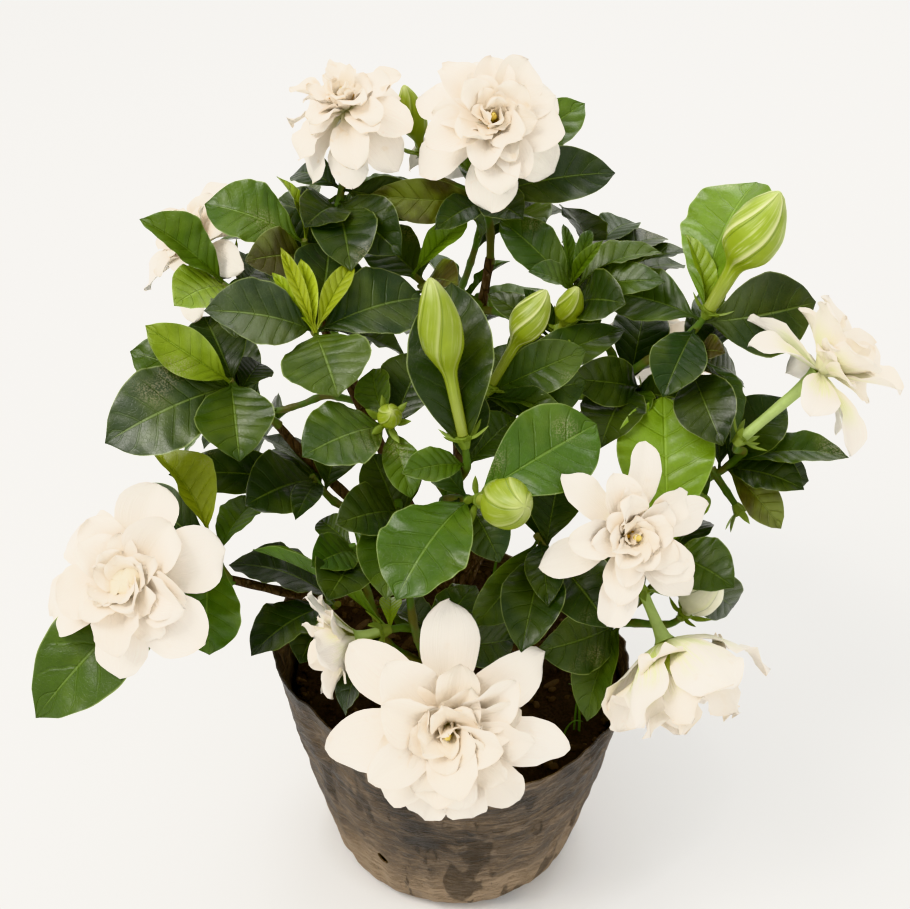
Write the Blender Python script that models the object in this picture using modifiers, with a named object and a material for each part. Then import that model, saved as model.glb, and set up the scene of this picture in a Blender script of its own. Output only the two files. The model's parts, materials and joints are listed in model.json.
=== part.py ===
"""Potted gardenia: a double-flowered gardenia bush in a black film grow bag.

Metres, +Z up. The origin is the middle of the bag's flat base, and the plant's front faces -Y.
Each leafy shoot, bloom and bud is one closed body. Leaves and blooms are placed where they show
in a picture taken from the front and above: a picture position and a depth give a point in space.
"""

import math
import random
from dataclasses import dataclass

import bmesh
import bpy
from mathutils import Matrix, Vector
from mathutils.bvhtree import BVHTree

MM = 0.001
GAP = 0.35 * MM
UP = Vector((0.0, 0.0, 1.0))

# Grow bag
BAG_RIM_RADIUS = 90 * MM
BAG_BASE_RADIUS = 62 * MM
BAG_HEIGHT = 128 * MM
BAG_FILM = 1.2 * MM
BAG_SIDES = 30
BAG_FOOT = 14 * MM
BAG_LEVELS = (0.0, 0.035, 0.11, 0.36, 0.68, 1.0)
DRAIN_HOLE_RADIUS = 3.5 * MM
DRAIN_HOLE_HEIGHT = 41 * MM
DRAIN_HOLE_TURNS = (-121, -1, 119)

# Potting soil
SOIL_TOP = 107 * MM
SOIL_CLEARANCE = 0.9 * MM
TRUNK_HOLE_RADIUS = 7.2 * MM
TRUNK_FOOT = 68 * MM

# Leaves, stems and flowers
BLADE_THICKNESS = 1.1 * MM
LEAF_FULLNESS = 1.12
PETAL_THICKNESS = 1.1 * MM
PETAL_LEAN = 12.0
HUB_RADIUS = 4.4 * MM
HUB_HEIGHT = 1.3 * MM
HEART_RADIUS = 2.2 * MM
STEM_BEVEL = 0
LIMB_BEVEL = 1
STEM_RADIUS = 1.9 * MM
STEM_SWERVES = (
    (0.0, True), (0.35, True), (-0.35, True), (0.35, False), (-0.35, False), (0.8, True), (-0.8, True),
    (0.8, False),
)
CALYX_RADIUS = 3.2 * MM
CALYX_HEIGHT = 5.0 * MM
CALYX_LOBE = 10.0 * MM
MARGIN = 0.5 * MM
SHORT_EDGE = 0.6 * MM

# The picture's sight lines
FOCAL = 1500.0
MIDDLE = (455.0, 454.5)
TILT = math.radians(38.0)
EYE = Vector((0.0, -0.5264, 0.6613))
SIGHT = Vector((0.0, math.cos(TILT), -math.sin(TILT)))
SIGHT_UP = Vector((0.0, math.sin(TILT), math.cos(TILT)))


def ray(px, py):
    """Direction of the sight line through a picture position, not normalised."""
    across = (px - MIDDLE[0]) / FOCAL
    rise = (MIDDLE[1] - py) / FOCAL
    return SIGHT + Vector((across, 0.0, 0.0)) + SIGHT_UP * rise


def seen(px, py, back):
    """The point that shows at a picture position, at the depth y = back."""
    way = ray(px, py)
    return EYE + way * ((back - EYE.y) / way.y)


def reached(start, px, py, length, near):
    """The point at a given length from start that shows at a picture position, on the near or far side."""
    way = ray(px, py).normalized()
    offset = EYE - start
    middle = -offset.dot(way)
    spread = middle * middle - offset.length_squared + length * length
    if spread < 0:
        return EYE + way * middle
    half = math.sqrt(spread)
    return EYE + way * (middle - half if near else middle + half)


@dataclass(frozen=True)
class Leaf:
    """One leaf of a shoot, placed by where its tip shows. Lengths are in millimetres."""

    tip: tuple
    length: float
    width: float
    down: float = 2.0
    near: bool = True
    roll: float = 0.0
    bow: float = 0.10
    fold: float = 14.0


@dataclass(frozen=True)
class Shoot:
    """A green shoot: where its head shows, how far back it is, and the leaves near the head."""

    name: str
    head: tuple
    back: float
    limb: str
    leaves: tuple
    fill: int = 1


@dataclass(frozen=True)
class Bud:
    """A closed flower bud that ends a shoot. The base and the tip are picture positions."""

    shoot: str
    base: tuple
    tip: tuple
    back: float
    radius: float
    length: float
    near: bool = True
    neck: float = 0.35


@dataclass(frozen=True)
class Bloom:
    """An open double flower that ends a shoot. Rings give the petals of each layer."""

    shoot: str
    centre: tuple
    back: float
    axis: tuple
    span: float
    tube: float
    rings: tuple
    turn: float = 0.0


@dataclass(frozen=True)
class Ring:
    """One layer of petals: how many, how long and wide, and how they rise and curl back."""

    count: int
    length: float
    width: float
    rise: float
    curl: float
    turn: float = 0.0
    fan: tuple = (0.0, 360.0)


# Woody limbs: points in millimetres, from the fork to the end, and the radius at each end
LIMBS = {
    "trunk": (((0, 4, 68), (1, 4, 108), (0, 3, 138), (-2, 2, 168)), 6.0, 3.6),
    "left_low": (((0, 3, 134), (-34, -4, 160), (-74, -22, 186), (-100, -34, 206)), 3.4, 2.2),
    "left": (((-2, 2, 166), (-36, 8, 202), (-64, 10, 236), (-80, 8, 262)), 3.2, 2.2),
    "left_high": (((-2, 2, 164), (-28, 30, 212), (-50, 42, 262), (-62, 44, 296)), 3.2, 2.2),
    "top": (((-2, 2, 167), (2, 34, 224), (10, 56, 276), (16, 66, 312)), 3.4, 2.4),
    "centre": (((-2, 2, 162), (-4, -10, 200), (-3, -22, 230), (-2, -28, 250)), 3.2, 2.2),
    "right_high": (((-2, 2, 165), (28, 22, 210), (58, 28, 250), (78, 26, 276)), 3.2, 2.2),
    "right": (((0, 3, 140), (36, 0, 172), (70, 0, 200), (94, 0, 222)), 3.4, 2.2),
    "right_front": (((0, 3, 130), (28, -20, 150), (54, -38, 172), (70, -46, 190)), 3.2, 2.0),
    "front": (((0, 3, 126), (-6, -18, 144), (-10, -38, 158), (-12, -50, 168)), 3.0, 2.0),
    "back_left": (((-2, 4, 150), (-24, 44, 186), (-44, 72, 222), (-54, 84, 246)), 3.0, 2.0),
    "back_right": (((0, 4, 152), (26, 44, 190), (50, 70, 226), (60, 80, 250)), 3.0, 2.0),
    "back": (((-1, 4, 156), (2, 50, 180), (0, 84, 206), (-2, 98, 226)), 3.0, 2.0),
}

SHOOTS = (
    Shoot("central", (463, 447), -0.045, "centre", (
        Leaf((448, 281), 72, 32, 8, False, 0, 0.12, 16),
        Leaf((405, 470), 30, 14, 10),
        Leaf((517, 414), 34, 20, 12, False),
    )),
    Shoot("centre_front", (477, 497), -0.062, "centre", (
        Leaf((395, 591), 56, 34, 3, True, 0, 0.10, 10),
        Leaf((599, 421), 62, 34, 3, False, 0, 0.08, 10),
        Leaf((432, 452), 26, 13, 6, False),
        Leaf((500, 560), 30, 18, 8),
    )),
    Shoot("centre_left", (386, 424), -0.030, "centre", (
        Leaf((305, 450), 42, 30, 3, True, 8, 0.08, 8),
        Leaf((370, 367), 28, 15, 3, False),
        Leaf((411, 494), 34, 14, 5),
        Leaf((425, 350), 40, 24, 9, False),
    )),
    Shoot("centre_low", (398, 500), -0.035, "front", (
        Leaf((386, 594), 44, 26, 3),
        Leaf((340, 520), 34, 22, 6),
        Leaf((436, 540), 34, 22, 9),
        Leaf((372, 452), 34, 20, 12, False),
    )),
    Shoot("crown_left", (315, 333), 0.0, "left_high", (
        Leaf((337, 391), 36, 34, 2, True, 0, 0.10, 8),
        Leaf((210, 306), 50, 28, 4, True, 0, 0.10, 12),
        Leaf((426, 292), 54, 30, 4, False, 0, 0.10, 10),
        Leaf((331, 240), 46, 28, 7, False),
        Leaf((262, 268), 42, 24, 10, False),
        Leaf((282, 247), 34, 6, 0, False, 0, 0.05, 30),
        Leaf((301, 258), 32, 8, 0, False, 0, 0.05, 30),
        Leaf((353, 260), 36, 9, 0, False, 0, 0.08, 30),
        Leaf((273, 271), 26, 6, 0, True, 0, 0.05, 30),
    )),
    Shoot("high_left", (304, 240), 0.040, "left_high", (
        Leaf((206, 200), 45, 25, 2, False, 0, 0.12, 14),
        Leaf((367, 197), 40, 11, 2, False, -30, 0.10, 30),
        Leaf((283, 174), 32, 12, 3, False, 20),
        Leaf((318, 186), 32, 22, 6, False),
        Leaf((250, 258), 34, 20, 9, True),
    )),
    Shoot("far_left", (221, 283), 0.028, "left_high", (
        Leaf((143, 216), 44, 18, 2, False, 35, 0.10, 34),
        Leaf((176, 300), 30, 25, 4, True, 0, 0.12, 10),
        Leaf((262, 262), 32, 22, 8, False),
        Leaf((236, 330), 34, 22, 12, True),
    )),
    Shoot("left", (230, 380), 0.0, "left", (
        Leaf((106, 438), 60, 34, 4, True, -6, 0.12, 8),
        Leaf((239, 457), 38, 30, 1, True, 0, 0.10, 18),
        Leaf((146, 326), 44, 18, 2, False, -35, 0.12, 34),
        Leaf((131, 350), 48, 24, 7, True),
        Leaf((203, 312), 40, 25, 5, False),
        Leaf((262, 360), 24, 16, 9, False),
    )),
    Shoot("left_inner", (312, 476), 0.0, "left", (
        Leaf((249, 500), 40, 28, 3, True),
        Leaf((169, 469), 60, 20, 8, True),
        Leaf((297, 512), 34, 12, 6, True, 30),
        Leaf((262, 430), 40, 24, 10, False),
        Leaf((340, 420), 36, 22, 12, False),
    )),
    Shoot("left_low", (205, 535), -0.030, "left_low", (
        Leaf((157, 448), 44, 20, 2, False, 25, 0.14, 34),
        Leaf((29, 714), 60, 37, 6, True, 0, 0.10, 10),
        Leaf((206, 655), 44, 30, 6, True, 0, 0.10, 16),
        Leaf((133, 488), 38, 22, 9, False),
        Leaf((190, 560), 26, 14, 2),
    )),
    Shoot("low_left", (352, 545), -0.040, "front", (
        Leaf((318, 517), 26, 12, 2, False),
        Leaf((315, 562), 28, 18, 4, True),
        Leaf((330, 592), 40, 24, 9, True),
    )),
    Shoot("low_dark", (338, 604), -0.030, "left_low", (
        Leaf((233, 556), 50, 32, 2, False, 0, 0.10, 8),
        Leaf((250, 648), 46, 28, 5, True, 0, 0.10, 8),
        Leaf((300, 660), 36, 22, 9, True),
    ), 0),
    Shoot("bag_left", (392, 622), -0.050, "front", (
        Leaf((262, 537), 66, 10, 2, False, 70, 0.05, 40),
        Leaf((391, 594), 24, 9, 3, False, 0, 0.10, 24),
        Leaf((338, 712), 46, 26, 4, True),
    ), 0),
    Shoot("front", (440, 640), -0.052, "front", (
        Leaf((378, 600), 40, 22, 4, False),
        Leaf((520, 640), 44, 20, 6, False),
        Leaf((402, 618), 32, 18, 9, False),
        Leaf((425, 608), 34, 18, 10, False),
        Leaf((492, 596), 46, 26, 8, False),
    )),
    Shoot("front_right", (536, 535), -0.040, "right_front", (
        Leaf((476, 627), 48, 19, 2, True, -25, 0.14, 26),
        Leaf((522, 645), 52, 24, 9, True),
        Leaf((548, 600), 34, 15, 4, True),
        Leaf((608, 622), 46, 26, 10, True),
        Leaf((560, 470), 38, 22, 9, False),
    )),
    Shoot("bag_right", (626, 618), -0.050, "right_front", (
        Leaf((584, 719), 48, 17, 3, True, 0, 0.14, 26),
        Leaf((545, 652), 50, 26, 8, True),
        Leaf((640, 570), 36, 20, 8, False),
    )),
    Shoot("right_front", (668, 545), -0.035, "right_front", (
        Leaf((664, 396), 60, 38, 4, True, 0, 0.12, 8),
        Leaf((690, 480), 34, 22, 2, False),
        Leaf((732, 583), 36, 24, 4, True),
        Leaf((741, 612), 46, 20, 8, False),
        Leaf((705, 455), 46, 14, 8, False, 40),
    )),
    Shoot("right_end", (737, 458), 0.0, "right", (
        Leaf((848, 450), 50, 17, 4, True, -20),
        Leaf((811, 478), 36, 18, 6, True),
        Leaf((803, 484), 38, 20, 10, True),
        Leaf((783, 527), 34, 16, 8, True),
        Leaf((781, 396), 40, 25, 8, False),
    )),
    Shoot("right_mid", (696, 350), 0.018, "right", (
        Leaf((738, 440), 44, 18, 2, True, -20, 0.12, 22),
        Leaf((722, 350), 20, 12, 2, True),
        Leaf((742, 372), 36, 22, 9, False),
        Leaf((720, 440), 42, 24, 10, True),
    )),
    Shoot("right_high", (706, 312), 0.022, "right_high", (
        Leaf((609, 289), 46, 25, 3, False, 0, 0.10, 12),
        Leaf((817, 305), 52, 34, 4, True, 0, 0.08, 8),
        Leaf((797, 296), 42, 7, 1, False, 50, 0.06, 40),
        Leaf((664, 392), 38, 22, 8, True),
        Leaf((750, 175), 66, 36, 2, False, 0, 0.12, 14),
        Leaf((690, 233), 34, 9, 0, False, 30, 0.10, 34),
        Leaf((736, 244), 32, 10, 0, True, 0, 0.12, 30),
    )),
    Shoot("right_inner", (652, 384), 0.030, "right_high", (
        Leaf((622, 434), 36, 24, 4, True),
        Leaf((574, 378), 40, 20, 6, True),
        Leaf((600, 440), 44, 26, 10, True),
        Leaf((690, 400), 34, 20, 8, True),
    )),
    Shoot("crown_right", (571, 286), 0.040, "right_high", (
        Leaf((502, 217), 44, 20, 3, False, 0, 0.08, 14),
        Leaf((660, 247), 42, 16, 3, False, -30, 0.14, 24),
        Leaf((661, 276), 42, 16, 6, True),
        Leaf((533, 268), 24, 14, 5, True),
        Leaf((620, 300), 34, 22, 9, True),
        Leaf((565, 220), 34, 5, 0, False, 0, 0.04, 30),
        Leaf((591, 226), 32, 6, 0, False, 0, 0.06, 30),
        Leaf((599, 242), 28, 6, 0, True, 0, 0.08, 30),
        Leaf((552, 238), 26, 6, 0, False, 0, 0.04, 30),
    )),
    Shoot("centre_right", (491, 388), -0.005, "top", (
        Leaf((585, 349), 46, 20, 2, True, -10, 0.08, 14),
        Leaf((626, 323), 54, 18, 8, False),
        Leaf((587, 382), 44, 24, 6, True),
        Leaf((568, 413), 42, 10, 4, True, 0, 0.08, 28),
        Leaf((444, 350), 38, 22, 9, False),
    )),
    Shoot("middle_back", (540, 330), 0.030, "top", (
        Leaf((490, 292), 34, 12, 6, True),
        Leaf((527, 290), 34, 10, 3, True),
        Leaf((600, 318), 36, 18, 8, True),
        Leaf((510, 360), 34, 16, 10, True),
    )),
    Shoot("top_left", (343, 183), 0.070, "left_high", (
        Leaf((428, 210), 44, 17, 3, True),
        Leaf((292, 168), 34, 16, 3, False),
        Leaf((397, 250), 44, 24, 8, True),
        Leaf((350, 262), 46, 26, 10, True),
        Leaf((308, 220), 36, 20, 12, True),
    )),
    Shoot("top_right", (484, 186), 0.070, "top", (
        Leaf((374, 197), 52, 18, 6, True),
        Leaf((615, 170), 58, 22, 5, False, 0, 0.16, 20),
        Leaf((584, 98), 60, 22, 2, False),
        Leaf((438, 224), 34, 14, 8, True),
        Leaf((520, 214), 30, 18, 8, True),
        Leaf((418, 152), 36, 10, 3, False, 0, 0.20, 20),
    )),
    Shoot("top_middle", (413, 275), 0.055, "top", (
        Leaf((466, 218), 34, 11, 0, False, 0, 0.10, 34),
        Leaf((420, 243), 30, 18, 5, False),
        Leaf((454, 280), 30, 18, 8, True),
        Leaf((368, 232), 38, 24, 8, False),
    )),
)

# Shoots of the side that the picture doesn't show: the limb, and the head in millimetres
BACK_SHOOTS = (
    ("back_left_high", "back_left", (-78, 98, 300)),
    ("back_left_low", "back_left", (-104, 78, 220)),
    ("back_high", "back", (14, 120, 314)),
    ("back_low", "back", (4, 138, 236)),
    ("back_right_high", "back_right", (66, 104, 292)),
    ("back_right_low", "back_right", (102, 84, 218)),
)
BACK_LEAVES = 6

# The closed buds, all of which show in the picture
BUDS = (
    Bud("central", (463, 436), (430, 279), -0.045, 9.0, 66, True, 0.42),
    Bud("centre_front", (481, 500), (524, 506), -0.062, 10.5, 34, True, 0.30),
    Bud("centre_left", (388, 420), (391, 412), -0.030, 5.2, 12, True, 0.0),
    Bud("centre_right", (492, 384), (546, 291), -0.005, 8.0, 48, True, 0.45),
    Bud("middle_back", (561, 328), (577, 288), 0.026, 6.0, 24, True, 0.15),
    Bud("right_high", (710, 308), (779, 193), 0.022, 12.0, 62, True, 0.38),
    Bud("bag_right", (686, 612), (716, 574), -0.046, 9.5, 30, True, 0.10),
    Bud("top_right", (421, 148), (404, 86), 0.096, 6.5, 30, True, 0.12),
)

DOUBLE = (
    Ring(6, 0.48, 0.38, 6, -16),
    Ring(5, 0.37, 0.32, 32, 12, 30),
    Ring(4, 0.24, 0.22, 60, 56, 12),
)

BLOOMS = (
    Bloom("front", (449, 724), -0.092, (-0.03, -0.82, 0.48), 100, 24, (
        Ring(5, 0.48, 0.26, 8, -6, 0, (-12, 192)),
        Ring(4, 0.38, 0.22, 14, -4, 0, (228, 312)),
        Ring(6, 0.29, 0.21, 36, 12, 20),
        Ring(5, 0.20, 0.16, 60, 54, 50),
    )),
    Bloom("left_low", (136, 582), -0.062, (-0.22, -0.72, 0.70), 75, 22, DOUBLE, 20),
    Bloom("right_front", (626, 536), -0.064, (0.25, -0.72, 0.55), 66, 20, (
        Ring(6, 0.50, 0.27, 12, -8, 10),
        Ring(5, 0.38, 0.27, 36, 14, 30),
        Ring(4, 0.26, 0.22, 60, 50, 12),
    ), 8),
    Bloom("bag_right", (664, 640), -0.072, (0.34, -0.66, -0.52), 84, 22, (
        Ring(5, 0.52, 0.40, 4, 70, 0),
        Ring(5, 0.46, 0.30, 34, 86, 36),
        Ring(3, 0.42, 0.22, 70, 80, 10),
    ), 0),
    Bloom("top_left", (347, 114), 0.070, (-0.12, -0.22, 0.95), 58, 18, (
        Ring(7, 0.50, 0.34, -30, -56, 0),
        Ring(6, 0.45, 0.32, 0, -34, 26),
        Ring(5, 0.38, 0.22, 34, 14, 12),
        Ring(3, 0.26, 0.12, 74, 80, 48),
    ), 12),
    Bloom("top_right", (492, 126), 0.062, (0.02, -0.62, 0.62), 65, 20, (
        Ring(6, 0.48, 0.34, -8, -30, 0),
        Ring(5, 0.42, 0.32, 24, 4, 30),
        Ring(4, 0.32, 0.26, 52, 44, 12),
        Ring(3, 0.20, 0.16, 78, 86, 48),
    ), 30),
    Bloom("far_left", (203, 246), 0.052, (-0.45, -0.30, 0.60), 58, 18, (
        Ring(6, 0.50, 0.28, 8, -12, 0),
        Ring(4, 0.34, 0.26, 44, 28, 30),
    ), 20),
    Bloom("right_end", (818, 374), -0.012, (0.60, 0.12, 0.60), 66, 42, (
        Ring(6, 0.50, 0.26, -6, -30, 0),
        Ring(5, 0.44, 0.34, 50, 38, 30),
        Ring(3, 0.30, 0.22, 70, 66, 10),
    ), 20),
    Bloom("bag_left", (356, 638), -0.062, (-0.85, -0.20, -0.12), 54, 12, (
        Ring(6, 0.48, 0.34, 46, 34, 0),
        Ring(3, 0.36, 0.28, 70, 68, 30),
    ), 10),
)
BACK_BLOOMS = (
    ("back_high", (16, 126, 330), (0.10, 0.62, 0.76), 70),
    ("back_right_low", (108, 92, 232), (0.62, 0.62, 0.42), 72),
)


def skin(near, far):
    """Triangles between two rings of four point numbers (left, bottom, right, top), alike on both faces."""
    faces = []
    for k in range(4):
        a, b, c, d = near[k], near[(k + 1) % 4], far[(k + 1) % 4], far[k]
        faces += [(a, b, d), (b, c, d)] if k % 2 else [(a, b, c), (a, c, d)]
    return faces


def loft(sections, tip, flat=0):
    """A closed body through four-cornered sections to a tip. The first flat spans stay whole quads."""
    points = [p for section in sections for p in section] + [tip]
    rings = [tuple(range(4 * i, 4 * i + 4)) for i in range(len(sections))]
    faces = [rings[0][::-1]]
    for i, (near, far) in enumerate(zip(rings, rings[1:])):
        if i < flat:
            faces += [(near[k], near[(k + 1) % 4], far[(k + 1) % 4], far[k]) for k in range(4)]
        else:
            faces += skin(near, far)
    faces += [(rings[-1][k], rings[-1][(k + 1) % 4], len(points) - 1) for k in range(4)]
    return points, faces


def blade_section(middle, side, face, half_width, thickness, lift):
    """The lens-shaped section of a leaf or petal, with both edges lifted towards its face."""
    edge = face * lift
    return (
        middle - side * half_width + edge,
        middle - face * thickness / 2,
        middle + side * half_width + edge,
        middle + face * thickness / 2,
    )


def leaf_width(s):
    """Half width of a leaf at the share s of its blade, as a share of the greatest half width."""
    return math.sin(math.pi * s ** 1.12) ** 0.82 if 0 < s < 1 else 0.0


def leaf_body(base, tip, face, width, bow, fold, grow=0.0, root=0.0):
    """A leaf's closed body: a short petiole, then a bowed blade that folds up along its midrib."""
    way = tip - base
    length = way.length
    along = way / length
    face = (face - along * face.dot(along)).normalized()
    side = face.cross(along)
    rise = math.tan(math.radians(fold))
    stalk = 0.8 * MM + grow
    stations = (0.34, 0.60, 0.84) if length > 45 * MM else (0.48, 0.82) if length > 24 * MM else (0.55,)
    petiole = min(0.14, 6 * MM / length)
    sections = [
        blade_section(base + way * s, side, face, stalk, BLADE_THICKNESS + 2 * grow, 0.0)
        for s in (root, petiole)
    ]
    for s in stations:
        half = LEAF_FULLNESS * width / 2 * leaf_width((s - 0.08) / 0.92) + grow
        middle = base + way * s + face * (bow * length * 4 * s * (1 - s) - 0.10 * length * s * s)
        wave = 1 + 0.25 * math.sin(9.0 * s + length / MM)
        lift = half * rise * wave
        sections.append(blade_section(middle, side, face, half, BLADE_THICKNESS + 2 * grow, lift))
    return loft(sections, tip - face * 0.10 * length + along * grow, 1)


def petal_sections(root, axis, out, length, width, rise, curl, lean, grow=0.0):
    """A petal's sections: it leaves its root at the angle rise and bends to the angle curl at its tip."""
    across = axis.cross(out)
    long = length > 32 * MM
    stations = (0.36, 0.74, 1.0) if long else (0.58, 1.0)
    widths = (0.84, 1.0, 0.44) if long else (1.0, 0.46)
    cups = (0.16, 0.20, 0.10) if long else (0.20, 0.10)
    tilt = math.radians(lean)
    place = root
    before = 0.0
    sections = []
    for s, share, cup in zip(stations, widths, cups):
        angle = math.radians(rise + (curl - rise) * (s + before) / 2)
        place = place + (out * math.cos(angle) + axis * math.sin(angle)) * length * (s - before)
        face = axis * math.cos(angle) - out * math.sin(angle)
        side = across * math.cos(tilt) + face * math.sin(tilt)
        face = face * math.cos(tilt) - across * math.sin(tilt)
        half = width / 2 * share + grow
        sections.append(blade_section(place, side, face, half, PETAL_THICKNESS + 2 * grow, half * cup))
        before = s
    return sections


def layer_body(centre, frame, level, hub, petals):
    """A layer of petals as one closed body: a flat hub whose sides run out into the petals' sections."""
    first, second, axis = frame
    points = []
    low = []
    faces = []
    for turn, reach, _ in petals:
        for edge in (turn - reach, turn + reach):
            around = first * math.cos(edge) + second * math.sin(edge)
            low.append(len(points))
            points.append(centre + around * hub + axis * level)
            points.append(centre + around * hub + axis * (level + HUB_HEIGHT))
    rim = list(low)
    gap = petals[0][0] - petals[-1][0] + 2 * math.pi
    for k in range(1, int(gap / 2.2) + 1):
        edge = petals[-1][0] + gap * k / (int(gap / 2.2) + 1)
        around = first * math.cos(edge) + second * math.sin(edge)
        rim.append(len(points))
        points.append(centre + around * hub + axis * level)
        points.append(centre + around * hub + axis * (level + HUB_HEIGHT))
    faces.append(tuple(reversed(rim)))
    faces.append(tuple(k + 1 for k in rim))
    for k, a in enumerate(rim):
        if k % 2 or k >= len(low):
            b = rim[(k + 1) % len(rim)]
            faces.append((a, b, b + 1, a + 1))
    for k, (_, _, sections) in enumerate(petals):
        a, b = low[2 * k], low[2 * k + 1]
        ring = (a + 1, a, b, b + 1)
        for section in sections:
            far = tuple(range(len(points), len(points) + 4))
            points += section
            faces += skin(ring, far)
            ring = far
        faces.append(ring)
    return points, faces


def spindle(base, way, length, radius, neck, sides, grow=0.0):
    """A flower bud: a slim neck that swells into a pointed head with a slight twist."""
    along = way.normalized()
    side = along.orthogonal().normalized()
    other = along.cross(side)
    swell = ((0.0, 0.24), (neck, 0.30), (neck + (1 - neck) * 0.22, 0.92), (neck + (1 - neck) * 0.52, 1.0),
             (neck + (1 - neck) * 0.82, 0.62), (1.0, 0.16))
    rings = [(s, share) for i, (s, share) in enumerate(swell) if i != 1 or neck > 0.05]
    points = []
    for s, share in rings:
        for k in range(sides):
            turn = 2 * math.pi * k / sides + 1.1 * s
            around = side * math.cos(turn) + other * math.sin(turn)
            points.append(base + along * length * s + around * (radius * share + grow))
    faces = [tuple(reversed(range(sides)))]
    for i in range(len(rings) - 1):
        for k in range(sides):
            a, b = i * sides + k, i * sides + (k + 1) % sides
            faces += [(a, b, b + sides), (a, b + sides, a + sides)]
    first = (len(rings) - 1) * sides
    faces.append(tuple(range(first, first + sides)))
    return points, faces


def tube(points, radii, bevel=STEM_BEVEL, name="tube"):
    """A stem through points, with a radius at each: a bevelled curve made a mesh, as points and faces."""
    curve = bpy.data.curves.new(name, "CURVE")
    curve.dimensions = "3D"
    curve.bevel_depth = 1.0
    curve.bevel_resolution = bevel
    curve.use_fill_caps = True
    spline = curve.splines.new("POLY")
    spline.points.add(len(points) - 1)
    for place, point, radius in zip(spline.points, points, radii):
        place.co = (*point, 1.0)
        place.radius = radius
    stem = bpy.data.objects.new(name, curve)
    bpy.context.scene.collection.objects.link(stem)
    bpy.context.view_layer.update()
    mesh = bpy.data.meshes.new_from_object(stem.evaluated_get(bpy.context.evaluated_depsgraph_get()))
    shape = bmesh.new()
    shape.from_mesh(mesh)
    bmesh.ops.remove_doubles(shape, verts=shape.verts, dist=1e-6)
    bmesh.ops.recalc_face_normals(shape, faces=shape.faces)
    shape.verts.index_update()
    made = [v.co.copy() for v in shape.verts], [tuple(v.index for v in f.verts) for f in shape.faces]
    shape.free()
    bpy.data.objects.remove(stem)
    bpy.data.meshes.remove(mesh)
    bpy.data.curves.remove(curve)
    return made


def bend(start, lead, end, arrive, count):
    """Points along a smooth curve from start to end, leaving along lead and arriving along arrive."""
    reach = (end - start).length * 0.40
    a, b = start + lead * reach, end - arrive * reach
    points = []
    for i in range(count):
        t = i / (count - 1)
        u = 1 - t
        points.append(start * u ** 3 + a * 3 * u * u * t + b * 3 * u * t * t + end * t ** 3)
    return points


class Thicket:
    """What has been placed so far, node by node, and whether a new piece is clear of the other nodes."""

    def __init__(self):
        self.pieces = []

    def add(self, node, body):
        self.pieces.append((node, *self.box(body), BVHTree.FromPolygons(*body)))

    @staticmethod
    def box(body):
        return tuple(
            Vector(pick(p[k] for p in body[0]) for k in range(3)) for pick in (min, max)
        )

    def crossed_own(self, node, body):
        """How many pieces of its own node a body crosses."""
        low, high = self.box(body)
        tree = BVHTree.FromPolygons(*body)
        return sum(
            bool(tree.overlap(other_tree)) for other, other_low, other_high, other_tree in self.pieces
            if other == node and all(low[k] <= other_high[k] and other_low[k] <= high[k] for k in range(3))
        )

    def crossed(self, node, body):
        """The other nodes whose pieces a body crosses."""
        low, high = self.box(body)
        tree = None
        names = []
        for other, other_low, other_high, other_tree in self.pieces:
            if other == node or any(low[k] > other_high[k] or other_low[k] > high[k] for k in range(3)):
                continue
            tree = tree or BVHTree.FromPolygons(*body)
            if tree.overlap(other_tree):
                names.append(other)
        return names


def crown(base, axis):
    """A calyx: a five-sided cup whose five lobes spread like a star, CALYX_HEIGHT above its base."""
    side = axis.orthogonal().normalized()
    other = axis.cross(side)
    top = base + axis * CALYX_HEIGHT

    def around(degrees, radius):
        turn = math.radians(degrees)
        return (side * math.cos(turn) + other * math.sin(turn)) * radius

    points = [base + around(36 + 72 * k, CALYX_RADIUS * 0.6) for k in range(5)]
    for k in range(5):
        points.append(top + around(72 * k, CALYX_LOBE) + axis * 0.8 * MM)
        points.append(top + around(36 + 72 * k, CALYX_RADIUS))
    points.append(top)
    faces = [(4, 3, 2, 1, 0)]
    for k in range(5):
        before, after = (k + 4) % 5, k
        lobe, left, right = 5 + 2 * k, 6 + 2 * before, 6 + 2 * after
        faces += [(before, after, lobe), (before, lobe, left), (after, right, lobe)]
        faces += [(left, lobe, 15), (lobe, right, 15)]
    return points, faces


def across_frame(axis):
    """Two directions square to axis: the first as near to the picture's right as it can be."""
    first = (Vector((1.0, 0.0, 0.0)) - axis * axis.x).normalized()
    return first, axis.cross(first)


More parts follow.
